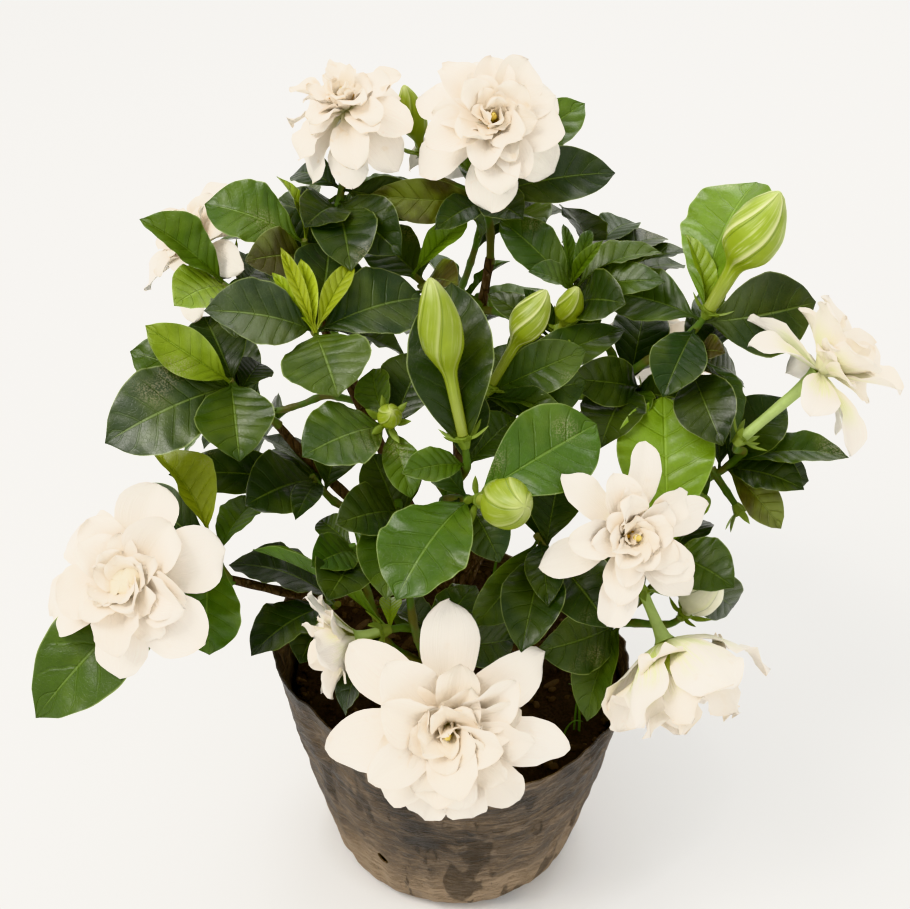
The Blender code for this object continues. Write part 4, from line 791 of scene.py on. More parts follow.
    def hidden_leaf(
        self, shoot: Shoot, index: int, down: float, length: float, slim: float, outward: Vector
    ) -> None:
        """Places a leaf that the picture doesn't show: by the golden angle round its stem.

        Args:
            shoot: the leaf's shoot.
            index: its number among these leaves of the shoot.
            down: how far below the head it grows, in millimetres.
            length: its length in millimetres.
            slim: its width as a share of its length.
            outward: the direction away from the middle of the bush.
        """
        turns = shoot.turns[index]
        base, along = self.below_head(shoot.name, down * MM)
        side = along.orthogonal().normalized()
        around = turned((side, along.cross(side)), math.radians(GOLDEN_ANGLE * index + 51.0 * turns))
        way = (around * 0.85 + along * 0.35 + outward * 0.4 + UP * 0.10).normalized()
        face = UP + outward * 0.3 + along * 0.2
        face = face - way * face.dot(way)
        reach = length * (1.0 - 0.025 * turns) * MM
        shape = LeafShape(base, base + way * reach, face.normalized(), reach * slim, 0.10, 14)
        tone = self.hidden_tones[(index + len(shoot.name)) % len(self.hidden_tones)]
        self.growth("shoot_" + shoot.name).leaves.append((shape, tone))

    def grow(self) -> None:
        """Places everything: blooms, buds, stems, and then leaves, the greatest first."""
        for bloom in BLOOMS:
            axis = Vector(bloom.axis).normalized()
            shape = BloomShape(given(bloom.centre, bloom.back), axis, bloom.span * MM, bloom.tube * MM)
            self.open_bloom(bloom.shoot, shape, bloom.rings, bloom.turn)
        for bud in BUDS:
            base = given(bud.base, bud.back)
            way = (reached(base, bud.tip, bud.length * MM) - base).normalized()
            shape = BudShape(base, way, bud.length * MM, bud.radius * MM, bud.neck)
            self.growth("bud_" + bud.shoot).bud = shape
        heads = [given(shoot.head, shoot.back) for shoot in SHOOTS]
        for shoot, head in zip(SHOOTS, heads):
            self.grow_shoot(shoot, head)
        order = [(leaf.width * leaf.length, shoot.name, leaf) for shoot in SHOOTS for leaf in shoot.leaves]
        for _, name, leaf in sorted(order, key=lambda entry: -entry[0]):
            self.pictured_leaf(name, leaf)
        for shoot, head in zip(SHOOTS, heads):
            if not shoot.leaves:
                outward = Vector((head.x, head.y, 0)).normalized()
                for i, length in enumerate(self.hidden_lengths):
                    length *= self.random.uniform(0.9, 1.1)
                    self.hidden_leaf(shoot, i, 1 + 5.0 * i, length, 0.52, outward)
        for shoot in SHOOTS:
            if shoot.leaves and shoot.turns:
                length = 44 * self.random.uniform(0.85, 1.1)
                self.hidden_leaf(shoot, 0, 12, length, 0.5, Vector((0.0, 1.0, 0.1)))


class Wire:
    """A socket of a finish. Arithmetic on it adds the nodes that work it out."""

    def __init__(self, paint: Paint, socket: bpy.types.NodeSocket) -> None:
        """Wraps a socket of a paint's node tree."""
        self.paint = paint
        self.socket = socket

    def _math(self, operation: str, *values: Wire | float) -> Wire:
        """Adds a Math node with an operation on some values."""
        return self.paint.node("ShaderNodeMath", {"operation": operation}, dict(enumerate(values)))

    def __add__(self, other: Wire | float) -> Wire:
        """The sum of two numbers."""
        return self._math("ADD", self, other)

    __radd__ = __add__

    def __sub__(self, other: Wire | float) -> Wire:
        """The difference of two numbers."""
        return self._math("SUBTRACT", self, other)

    def __rsub__(self, other: float) -> Wire:
        """A plain number less this one."""
        return self._math("SUBTRACT", other, self)

    def __mul__(self, other: Wire | float) -> Wire:
        """The product of two numbers."""
        return self._math("MULTIPLY", self, other)

    __rmul__ = __mul__

    def __abs__(self) -> Wire:
        """The number without its sign."""
        return self._math("ABSOLUTE", self)

    def fraction(self) -> Wire:
        """What is left of the number above its whole part."""
        return self._math("FRACT", self)

    def rises(self, low: float, high: float) -> Wire:
        """A mask that rises smoothly from 0 to 1, or falls where high is the lower.

        Args:
            low: where the mask is 0.
            high: where the mask is 1.

        Returns:
            The mask.
        """
        if low > high:
            return 1 - self.rises(high, low)
        settings = {"interpolation_type": "SMOOTHSTEP"}
        return self.paint.node("ShaderNodeMapRange", settings, {0: self, 1: low, 2: high, 3: 0.0, 4: 1.0})


class Paint:
    """A finish's material while it is being mixed."""

    def __init__(self, name: str, **constants: float | Colour) -> None:
        """Starts a material whose shader has constant values on its own sockets, and the wire of
        the point's place on the object, in metres.

        Args:
            name: the material's name.
            constants: shader sockets by name, with _ for a space, and their values.
        """
        self.material = bpy.data.materials.new(name)
        self.material.use_nodes = True
        self.tree = self.material.node_tree
        self.shader = self.tree.nodes["Principled BSDF"]
        self.set(self.shader, {key.replace("_", " "): value for key, value in constants.items()})
        self.spot = self.node("ShaderNodeTexCoord", {}, {}, "Object")

    def set(self, node: bpy.types.Node, sockets: dict[str | int, object]) -> None:
        """Sets or links a node's sockets.

        Args:
            node: the node.
            sockets: its sockets, by name or number, and a value or a wire for each.
        """
        for key, value in sockets.items():
            socket = node.inputs[key]
            if isinstance(value, Wire):
                self.tree.links.new(value.socket, socket)
            elif socket.type == "RGBA" and len(value) == 3:
                socket.default_value = (*value, 1.0)
            else:
                socket.default_value = value

    def node(
        self, kind: str, settings: dict[str, object], sockets: dict[str | int, object], out: int | str = 0
    ) -> Wire:
        """Adds a node.

        Args:
            kind: the node's type.
            settings: its settings, which are set first.
            sockets: its sockets and their values or wires.
            out: which of its outputs is wanted.

        Returns:
            The output's wire.
        """
        node = self.tree.nodes.new(kind)
        for key, value in settings.items():
            setattr(node, key, value)
        self.set(node, sockets)
        return Wire(self, node.outputs[out])

    def mix(self, first: Wire | Colour, second: Wire | Colour, share: Wire | float) -> Wire:
        """The colour between two, at a share of the way."""
        return self.node("ShaderNodeMix", {"data_type": "RGBA"}, {0: share, 6: first, 7: second}, 2)

    def shade(self, colour: Wire | Colour, strength: Wire | float) -> Wire:
        """A colour made darker or brighter by a number."""
        return self.node("ShaderNodeVectorMath", {"operation": "SCALE"}, {0: colour, "Scale": strength})

    def note(self, name: str) -> Wire:
        """The three numbers that the mesh holds at each point under a name."""
        settings = {"attribute_type": "GEOMETRY", "attribute_name": name}
        return self.node("ShaderNodeAttribute", settings, {}, "Vector")

    def parts(self, vector: Wire) -> tuple[Wire, Wire, Wire]:
        """The three numbers of a vector."""
        outputs = self.node("ShaderNodeSeparateXYZ", {}, {0: vector}).socket.node.outputs
        return Wire(self, outputs[0]), Wire(self, outputs[1]), Wire(self, outputs[2])

    def scaled(self, vector: Wire, scale: Point) -> Wire:
        """A vector scaled by a number for each axis."""
        return self.node("ShaderNodeVectorMath", {"operation": "MULTIPLY"}, {0: vector, 1: scale})

    def noise(
        self, scale: float, detail: float = 3.0, rough: float = 0.5, stretch: Point | None = None,
        vector: Wire | None = None,
    ) -> Wire:
        """Smooth noise from 0 to 1.

        Args:
            scale: cycles per unit of the vector.
            detail: how many finer layers it has.
            rough: how strong these are.
            stretch: numbers that the vector is scaled by first.
            vector: what it runs over, which is the point's place unless it is given.

        Returns:
            The noise.
        """
        vector = vector or self.spot
        if stretch:
            vector = self.scaled(vector, stretch)
        sockets = {"Vector": vector, "Scale": scale, "Detail": detail, "Roughness": rough}
        return self.node("ShaderNodeTexNoise", {}, sockets)

    def cells(self, scale: float, stretch: Point | None = None) -> Wire:
        """The distance to the edge of irregular cells."""
        sockets = {"Vector": self.scaled(self.spot, stretch) if stretch else self.spot, "Scale": scale}
        return self.node("ShaderNodeTexVoronoi", {"feature": "DISTANCE_TO_EDGE"}, sockets)

    def finish(
        self, colour: Wire, roughness: Wire | float, height: Wire | None = None, depth: float = 0.3 * MM
    ) -> bpy.types.Material:
        """Joins the finish's parts to its shader.

        Args:
            colour: the base colour.
            roughness: the roughness.
            height: the relief, from 0 to 1.
            depth: the relief's depth in metres.

        Returns:
            The material.
        """
        sockets: dict[str | int, object] = {"Base Color": colour, "Roughness": roughness}
        if height is not None:
            bump = {"Height": height, "Distance": depth, "Strength": 1.0}
            sockets["Normal"] = self.node("ShaderNodeBump", {}, bump)
        self.set(self.shader, sockets)
        return self.material


@dataclass(frozen=True)
class LeafFinish:
    """The skin of a leaf: a pale midrib and side veins, a thin pale edge and a soft painted reflection of the
    sky.
    """

    name: str = "leaf_skin"
    vein_colour: Colour = (0.34, 0.46, 0.13)
    edge_colour: Colour = (0.36, 0.44, 0.16)
    # The grey of the sky's painted reflection on the shiny blade
    painted_reflection_colour: Colour = (0.100, 0.120, 0.085)
    patch_colour: Colour = (0.26, 0.34, 0.06)
    residue_colour: Colour = (0.42, 0.38, 0.24)
    roughness: float = 0.42

    def make(self) -> bpy.types.Material:
        """Mixes the material.

        Returns:
            The material.
        """
        paint = Paint(self.name, Specular_IOR_Level=0.32, Coat_Roughness=0.22, Coat_Weight=0.16)
        along, side, _ = paint.parts(paint.note("place"))
        shine_and_painted_reflection, mottle, veins = paint.parts(paint.note("habit"))
        tint = paint.note("tint")
        across = abs(side)
        broad = paint.noise(70.0, 2.0)
        fine = paint.noise(420.0, 3.0, 0.6)
        ripple = paint.noise(160.0, 1.0) * 0.16
        vein = abs((along * VEIN_PAIRS - across * VEIN_SLANT + ripple).fraction() - 0.5)
        lateral = vein.rises(0.415, 0.49) * across.rises(0.97, 0.55) * along.rises(0.04, 0.14)
        midrib = across.rises(0.048, 0.012) * along.rises(1.02, 0.85)
        mesh = paint.cells(520.0).rises(0.10, 0.02)
        line = across.rises(0.955, 0.99)
        colour = paint.shade(tint, broad * 0.55 + fine * 0.35 + 0.55)
        patch = (paint.noise(38.0, 2.0) + paint.noise(130.0, 2.0) * 0.35).rises(0.56, 0.86)
        colour = paint.mix(colour, self.patch_colour, patch * mottle * 0.75)
        # Painted reflection of the sky: soft grey patches, as strong as the leaf's look gives
        painted_reflection_patches = paint.noise(26.0, 1.0).rises(0.35, 0.72)
        colour = paint.mix(colour, self.painted_reflection_colour, painted_reflection_patches * shine_and_painted_reflection * 0.55)
        pale = paint.mix(paint.shade(tint, 2.4), self.vein_colour, 0.22)
        colour = paint.mix(colour, pale, (lateral * 0.55 + mesh * 0.10) * veins)
        residue = paint.noise(34.0, 1.0).rises(0.64, 0.78) * paint.noise(1500.0, 2.0).rises(0.44, 0.62)
        colour = paint.mix(colour, self.residue_colour, residue * 0.35)
        colour = paint.mix(colour, paint.mix(pale, self.vein_colour, 0.45), midrib * (veins * 0.6 + 0.20))
        colour = paint.mix(colour, self.edge_colour, line * 0.40)
        relief = lateral * -0.6 + midrib * -0.7 + vein.rises(0.5, 0.05) * 0.40 + mesh * -0.08 + fine * 0.10
        rough = fine * 0.16 + self.roughness - shine_and_painted_reflection * 0.04 - 0.10
        return paint.finish(colour, rough, relief, 0.60 * MM)


@dataclass(frozen=True)
class PetalFinish:
    """The skin of a petal: ivory, finely ribbed along its length, greener at its claw, and warmer
    towards its base, partly its own cream and partly painted warm shade.
    """

    name: str = "petal_skin"
    claw_colour: Colour = (0.62, 0.66, 0.30)
    aged_colour: Colour = (0.74, 0.53, 0.26)
    # Partly the petal's own cream, partly painted warm shade in the cup
    cream_and_painted_shade_colour: Colour = (0.95, 0.83, 0.68)
    green_colour: Colour = (0.50, 0.60, 0.10)

    def make(self) -> bpy.types.Material:
        """Mixes the material.

        Returns:
            The material.
        """
        paint = Paint(
            self.name, Specular_IOR_Level=0.30, Subsurface_Weight=0.08, Subsurface_Radius=(1.0, 1.0, 1.0),
            Subsurface_Scale=1.0 * MM,
        )
        along, side, _ = paint.parts(paint.note("place"))
        age, green, _ = paint.parts(paint.note("habit"))
        tint = paint.note("tint")
        fine = paint.noise(300.0, 3.0, 0.6)
        broad = paint.noise(60.0, 2.0)
        ribs = paint.noise(1.6, 2.0, stretch=(1.5, 16.0, 3.0), vector=paint.note("place"))
        colour = paint.shade(tint, broad * 0.16 + ribs * 0.10 + 0.87)
        # Warmer towards the base: partly the petal's own cream, partly painted warm shade
        colour = paint.mix(colour, self.cream_and_painted_shade_colour, along.rises(0.75, 0.05) * 0.45)
        colour = paint.mix(colour, self.claw_colour, along.rises(0.30, 0.0) * 0.55)
        streak = (ribs * 0.5 + broad * 0.6).rises(0.42, 0.58) * green * along.rises(0.75, 0.35)
        colour = paint.mix(colour, self.green_colour, streak * abs(side).rises(1.05, 0.45))
        rim = (abs(side) * 0.5 + along * 0.5 + fine * 0.10).rises(0.93, 1.06)
        spots = paint.noise(150.0, 3.0).rises(0.62, 0.78) * 0.5
        colour = paint.mix(colour, self.aged_colour, (rim + spots) * age)
        return paint.finish(colour, fine * 0.18 + 0.42, ribs * 0.6 + fine * 0.15, 0.50 * MM)


@dataclass(frozen=True)
class BudFinish:
    """The skin of a closed bud: lime green, paler along the wound edges of its petals, with painted
    shade in a dark line where each petal laps over the next.
    """

    name: str = "bud_skin"
    pale: Colour = (0.66, 0.68, 0.34)
    # The painted shade along each seam
    seam: Colour = (0.10, 0.17, 0.02)
    neck: Colour = (0.30, 0.33, 0.10)

    def make(self) -> bpy.types.Material:
        """Mixes the material.

        Returns:
            The material.
        """
        paint = Paint(self.name, Specular_IOR_Level=0.4, Coat_Weight=0.12, Coat_Roughness=0.3)
        along, wound, _ = paint.parts(paint.note("place"))
        streaks, _, _ = paint.parts(paint.note("habit"))
        fine = paint.noise(380.0, 3.0, 0.6)
        broad = paint.noise(90.0, 2.0)
        ribs = paint.noise(2.2, 2.0, stretch=(2.0, 5.0, 0.0), vector=paint.note("place"))
        colour = paint.shade(paint.note("tint"), broad * 0.35 + fine * 0.15 + 0.75)
        band = wound.rises(0.70, 0.88) * along.rises(0.25, 0.55)
        colour = paint.mix(colour, self.pale, band * streaks * 0.9)
        colour = paint.mix(colour, self.neck, along.rises(0.42, 0.10) * 0.45)
        colour = paint.mix(colour, self.pale, ribs.rises(0.52, 0.72) * streaks * 0.5)
        colour = paint.mix(colour, self.pale, along.rises(0.86, 1.0) * 0.30)
        # Painted shade: a dark line along each seam, where one petal laps over the next
        edge = wound.rises(0.06, 0.0) * along.rises(0.15, 0.4)
        colour = paint.mix(colour, self.seam, edge * 0.55)
        return paint.finish(colour, fine * 0.12 + 0.36, ribs * 0.4 + fine * 0.15 - edge * 0.5, 0.4 * MM)


@dataclass(frozen=True)
class StemFinish:
    """The skin of a green stem, calyx or flower tube: finely mottled, with woody brown patches as it ages."""

    name: str = "green_stem"
    woody: Colour = (0.13, 0.08, 0.035)

    def make(self) -> bpy.types.Material:
        """Mixes the material.

        Returns:
            The material.
        """
        paint = Paint(self.name, Specular_IOR_Level=0.4)
        fine = paint.noise(500.0, 3.0, 0.6)
        broad = paint.noise(110.0, 2.0)
        age, _, _ = paint.parts(paint.note("habit"))
        colour = paint.shade(paint.note("tint"), broad * 0.5 + fine * 0.3 + 0.6)
        colour = paint.mix(colour, self.woody, broad.rises(0.42, 0.62) * age)
        return paint.finish(colour, fine * 0.2 + 0.42, fine, 0.25 * MM)


@dataclass(frozen=True)
class BarkFinish:
    """The bark of the trunk and limbs: grey-brown, cracked along the wood, with pale flecks, and
    near-black in its cracks, partly their own dark and partly painted shade.
    """

    name: str = "bark"
    wood: Colour = (0.060, 0.038, 0.024)
    ash: Colour = (0.20, 0.155, 0.11)
    fleck: Colour = (0.30, 0.25, 0.19)
    # Partly the cracks' own dark, partly painted shade in them
    crack_and_painted_shade: Colour = (0.02, 0.014, 0.010)

    def make(self) -> bpy.types.Material:
        """Mixes the material.

        Returns:
            The material.
        """
        paint = Paint(self.name, Specular_IOR_Level=0.25)
        grain = paint.noise(520.0, 4.0, 0.65, stretch=(1.0, 1.0, 0.28))
        broad = paint.noise(90.0, 2.0)
        cracks = paint.cells(300.0, (1.0, 1.0, 0.35)).rises(0.10, 0.01)
        flecks = paint.noise(330.0, 1.0).rises(0.64, 0.72)
        colour = paint.mix(self.wood, self.ash, grain.rises(0.35, 0.75) * (broad + 0.1))
        colour = paint.mix(colour, self.fleck, flecks * 0.5)
        # Near-black in the cracks: partly their own dark, partly painted shade
        colour = paint.mix(colour, self.crack_and_painted_shade, cracks * 0.6)
        return paint.finish(colour, grain * 0.2 + 0.68, grain * 0.7 - cracks * 0.5, 0.8 * MM)


@dataclass(frozen=True)
class StamenFinish:
    """The pollen skin of stamens and stigma, from its own tint to a dry brown."""

    name: str = "stamen"
    dry: Colour = (0.16, 0.08, 0.025)

    def make(self) -> bpy.types.Material:
        """Mixes the material.

        Returns:
            The material.
        """
        paint = Paint(self.name, Specular_IOR_Level=0.2)
        grains = paint.noise(900.0, 3.0, 0.6)
        colour = paint.mix(paint.note("tint"), self.dry, grains.rises(0.50, 0.70) * 0.7)
        return paint.finish(colour, grains * 0.2 + 0.6, grains, 0.2 * MM)


@dataclass(frozen=True)
class FilmFinish:
    """Black film that is scuffed, creased and dusted with dry soil, most of all near its foot."""

    name: str = "black_film"
    film: Colour = (0.018, 0.014, 0.011)
    grey: Colour = (0.115, 0.086, 0.060)
    dust: Colour = (0.330, 0.240, 0.155)

    def make(self) -> bpy.types.Material:
        """Mixes the material.

        Returns:
            The material.
        """
        paint = Paint(self.name, Specular_IOR_Level=0.45)
        _, _, height = paint.parts(paint.spot)
        fine = paint.noise(620.0, 5.0, 0.65)
        cloud = paint.noise(30.0, 4.0, 0.6)
        folds = paint.noise(190.0, 6.0, 0.72, stretch=(0.22, 0.22, 1.0))
        runs = paint.noise(120.0, 4.0, 0.6, stretch=(1.0, 1.0, 0.14))
        crease = abs(folds - 0.5).rises(0.035, 0.0)
        ridge = abs(paint.noise(95.0, 4.0, 0.6, stretch=(0.30, 0.30, 1.0)) - 0.5).rises(0.05, 0.0)
        lines = paint.noise(620.0, 3.0, 0.6, stretch=(0.06, 0.06, 1.0))
        low = height.rises(0.075, 0.005)
        grime = (cloud * 0.9 + folds * 0.6 + fine * 0.2 + low * 0.25 - 0.35).rises(0.30, 0.62)
        grime = grime * (1 - lines.rises(0.52, 0.62) * height.rises(0.02, 0.10) * 0.7)
        colour = paint.mix(self.film, self.grey, grime)
        dry = (cloud * 0.6 + fine * 0.35 + folds * 0.4 + low * 0.55 - 0.2).rises(0.62, 0.98)
        colour = paint.mix(colour, self.dust, dry * 0.85)
        colour = paint.mix(colour, self.dust, (crease * 0.35 + ridge * 0.35) * (grime * 0.8 + 0.2))
        colour = paint.mix(colour, self.film, runs.rises(0.60, 0.66) * 0.65)
        # Darker patches, back towards the film's black
        dark_patches = paint.noise(48.0, 3.0, 0.55, stretch=(1.0, 1.0, 0.35))
        colour = paint.mix(colour, self.film, dark_patches.rises(0.57, 0.62) * 0.60)
        rough = grime * 0.30 + fine * 0.12 + 0.36
        relief = folds * 0.8 + crease * 0.15 + ridge * 0.30 + runs * 0.15 + fine * 0.12 + lines * 0.15
        return paint.finish(colour, rough, relief, 2.4 * MM)


@dataclass(frozen=True)
class SoilFinish:
    """Damp potting soil: dark and crumbly, near-black in the hollows of its grit as painted shade, with
    lighter crumbs where it has dried.
    """

    name: str = "soil"
    # The painted shade in the hollows between the grains
    hollow_shade: Colour = (0.008, 0.006, 0.005)
    moist: Colour = (0.050, 0.036, 0.026)
    dry: Colour = (0.10, 0.075, 0.052)

    def make(self) -> bpy.types.Material:
        """Mixes the material.

        Returns:
            The material.
        """
        paint = Paint(self.name, Specular_IOR_Level=0.2)
        grit = paint.noise(700.0, 5.0, 0.7)
        damp = paint.noise(60.0, 3.0)
        # Near-black where the grit's relief is low: painted shade in the hollows
        colour = paint.mix(self.hollow_shade, self.moist, grit.rises(0.36, 0.70))
        colour = paint.mix(colour, self.dry, damp.rises(0.50, 0.70) * grit * 0.6)
        colour = paint.mix(colour, paint.note("tint"), 0.40)
        return paint.finish(colour, grit * 0.2 + 0.75, grit, 1.5 * MM)


@dataclass(frozen=True)
class FloorFinish:
    """The plain pale floor."""

    name: str = "pale_floor"
    grey: Colour = (0.80, 0.80, 0.80)
    white: Colour = (0.84, 0.84, 0.83)

    def make(self) -> bpy.types.Material:
        """Mixes the material.

        Returns:
            The material.
        """
        paint = Paint(self.name, Specular_IOR_Level=0.2)
        soft = paint.noise(3.0, 2.0)
        return paint.finish(paint.mix(self.grey, self.white, soft), 0.9)


def unit(vector: np.ndarray) -> np.ndarray:
    """Vectors brought to length 1 along their last axis."""
    return vector / np.maximum(np.linalg.norm(vector, axis=-1, keepdims=True), 1e-12)


def spaced(first: float, last: float, count: int, crowding: float) -> np.ndarray:
    """Numbers from first to last that crowd towards the last, by a share from 0 to 1."""
    even = np.linspace(0, 1, count)
    return first + (last - first) * (even * (1 - crowding) + np.sin(even * math.pi / 2) * crowding)


def smooth_curve(
    points: Sequence[Vector], radii: Sequence[float], spacing: float
) -> tuple[np.ndarray, np.ndarray]:
    """A smooth curve through points, closely sampled.

    Args:
        points: the points that it runs through.
        radii: a radius at each.
        spacing: the distance between samples.

    Returns:
        The samples and the radius at each.
    """
    knots = np.array([tuple(p) for p in points])
    ends = [2 * knots[0] - knots[1], *knots, 2 * knots[-1] - knots[-2]]
    made, sizes = [], []
    for i in range(len(knots) - 1):
        a, b, c, d = ends[i:i + 4]
        count = max(2, int(np.linalg.norm(c - b) / spacing))
        for t in np.arange(count) / count:
            square, cube = 2 * a - 5 * b + 4 * c - d, 3 * b - a - 3 * c + d
            made.append(0.5 * (2 * b + (c - a) * t + square * t * t + cube * t ** 3))
            sizes.append(radii[i] + (radii[i + 1] - radii[i]) * t * t * (3 - 2 * t))
    return np.array([*made, knots[-1]]), np.array([*sizes, radii[-1]])


def round_rings(
    path: np.ndarray, radii: np.ndarray, around: int, twists: np.ndarray | float = 0.0
) -> np.ndarray:
    """Rings of points round a path, whose seam doesn't twist.

    Args:
        path: the path's points.
        radii: the rings' radii, one for each point, or one for each point and place round it.
        around: the number of points in a ring.
        twists: how far each ring is turned.

    Returns:
        The rings' points.
    """
    along = unit(np.gradient(path, axis=0))
    first = np.cross(along[0], (0.0, 0.0, 1.0) if abs(along[0][2]) < 0.9 else (1.0, 0.0, 0.0))
    sides = []
    for way in along:
        first = unit(first - way * first.dot(way))
        sides.append(first)
    sides = np.array(sides)
    others = np.cross(along, sides)
    turns = np.broadcast_to(twists, len(path))[:, None] + 2 * math.pi * np.arange(around)[None, :] / around
    radii = radii if radii.ndim == 2 else radii[:, None]
    cos, sin = np.cos(turns) * radii, np.sin(turns) * radii
    return path[:, None] + sides[:, None] * cos[..., None] + others[:, None] * sin[..., None]


@dataclass
class Form:
    """A closed form: rings of points from end to end, and what its finish reads at its points. The
    places along and across it run from 0 to 1 unless they are given."""

    rings: np.ndarray
    tint: Colour
    habit: tuple[float, float, float] = (0.0, 0.0, 0.0)
    slot: int = 0
    along: np.ndarray | float | None = None
    across: np.ndarray | None = None
    layer: float = 0.0

    @property
    def place(self) -> np.ndarray:
        """How far along and across the form its points lie, and its layer.

        Returns:
            Three numbers for each point.
        """
        count, around = self.rings.shape[:2]
        along = np.linspace(0, 1, count)[:, None] if self.along is None else self.along
        across = np.linspace(0, 1, around)[None, :] if self.across is None else self.across
        return np.stack(np.broadcast_arrays(along, across, self.layer), axis=-1)

    def note(self, name: str) -> np.ndarray:
        """What the finish reads under a name: three numbers for each point."""
        return np.broadcast_to(getattr(self, name), self.rings.shape).reshape(-1, 3)


class Blade:
    """The way that a thin blade's rings are laid out: over its top, then back under it."""

    def __init__(self, stations: Sequence[float]) -> None:
        """Starts from places across half of the top.

        Args:
            stations: places from 1 at the edge to 0 in the middle.
        """
        half = np.array(stations)
        top = np.concatenate((half, -half[-2::-1]))
        self.across = np.concatenate((top, top[-2:0:-1]))
        self.side = np.concatenate((np.ones(len(top)), -np.ones(len(top) - 2)))

    def rings(
        self, middles: np.ndarray, sides: np.ndarray, faces: np.ndarray, halves: np.ndarray,
        lifts: np.ndarray, thick: np.ndarray | float,
    ) -> np.ndarray:
        """The rings of a blade.

        Args:
            middles: its midline's points.
            sides: the direction across it at each.
            faces: the direction that its top faces at each.
            halves: half its width at each.
            lifts: how far its surface stands from the midline towards the face, across each.
            thick: its thickness at each.

        Returns:
            The rings' points.
        """
        bulge = np.sqrt(np.maximum(0.0, 1 - self.across ** 4)) * self.side / 2
        offset = lifts + np.broadcast_to(thick, len(middles))[:, None] * bulge[None, :]
        reach = halves[:, None] * self.across[None, :]
        return middles[:, None] + sides[:, None] * reach[..., None] + faces[:, None] * offset[..., None]


LEAF_BLADE = Blade((1.0, 0.95, 0.78, 0.55, 0.32, 0.12, 0.0))
PETAL_BLADE = Blade((1.0, 0.90, 0.70, 0.46, 0.22, 0.0))
LOBE_BLADE = Blade((1.0, 0.5, 0.0))


def strip(middles: np.ndarray, side: np.ndarray, halves: np.ndarray, tint: Colour) -> Form:
    """A narrow pointed blade along a midline, such as a sepal or a blade of grass.

    Args:
        middles: its midline's points.
        side: the direction across it.
        halves: half its width at each point.
        tint: its colour.

    Returns:
        Its form, for the green stem's finish.
    """
    sides = np.broadcast_to(side, middles.shape)
    faces = unit(np.cross(unit(np.gradient(middles, axis=0)), sides))
    lifts = (halves * 0.35)[:, None] * np.abs(LOBE_BLADE.across)[None, :]
    rings = LOBE_BLADE.rings(middles, sides, faces, halves, lifts, np.minimum(0.7 * MM, halves * 0.8))
    return Form(rings, tint, (0.1, 0, 0), 1)


class Piece:
    """A visible piece: closed forms in one mesh, which stands for a node of the frame. Prefixes are
    what its own name and the node's name start with."""

    prefixes: tuple[str, str]
    name: str

    @property
    def seed(self) -> int:
        """The number that what differs from piece to piece is drawn from."""
        return sum(map(ord, self.name))

    def forms(self) -> Iterable[Form]:
        """The closed forms that the piece is made of."""
        raise NotImplementedError

    def mesh(self) -> bpy.types.Mesh:
        """Makes the mesh of all forms, with their notes for the finishes.

        Returns:
            The mesh, shaded smooth but for its sharp edges.
        """
        forms = list(self.forms())
        faces, slots = [], []
        start = 0
        for form in forms:
            count, around = form.rings.shape[:2]
            number = np.arange(count * around).reshape(count, around) + start
            beside = np.roll(number, -1, axis=1)
            quads = np.stack((number[:-1], beside[:-1], beside[1:], number[1:]), axis=-1).reshape(-1, 4)
            faces += [*quads.tolist(), number[0][::-1].tolist(), number[-1].tolist()]
            slots += [form.slot] * (len(quads) + 2)
            start += count * around
        mesh = bpy.data.meshes.new(self.prefixes[0] + self.name)
        mesh.from_pydata(np.concatenate([form.note("rings") for form in forms]).tolist(), [], faces)
        mesh.polygons.foreach_set("material_index", slots)
        for name in ("place", "tint", "habit"):
            store = mesh.attributes.new(name, "FLOAT_VECTOR", "POINT")
            store.data.foreach_set("vector", np.concatenate([form.note(name) for form in forms]).ravel())
        mesh.shade_smooth()
        mesh.set_sharp_from_angle(angle=math.radians(62))
        mesh.update()
        return mesh

    def build(self, slots: dict[str, str], *finishes: bpy.types.Material) -> None:
        """Puts the piece in the scene, dressed, in place of its node of the frame.

        Args:
            slots: the record's material slot of each node; not used.
            finishes: the piece's materials, in the order of its forms' slots.
        """
        label, node = (prefix + self.name for prefix in self.prefixes)
        piece = bpy.data.objects.new(label, self.mesh())
        bpy.context.scene.collection.objects.link(piece)
        for finish in finishes:
            piece.data.materials.append(finish)
        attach(piece, BODY)
        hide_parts(node)
        LOG.info("%s stands for %s with %d faces", label, node, len(piece.data.polygons))


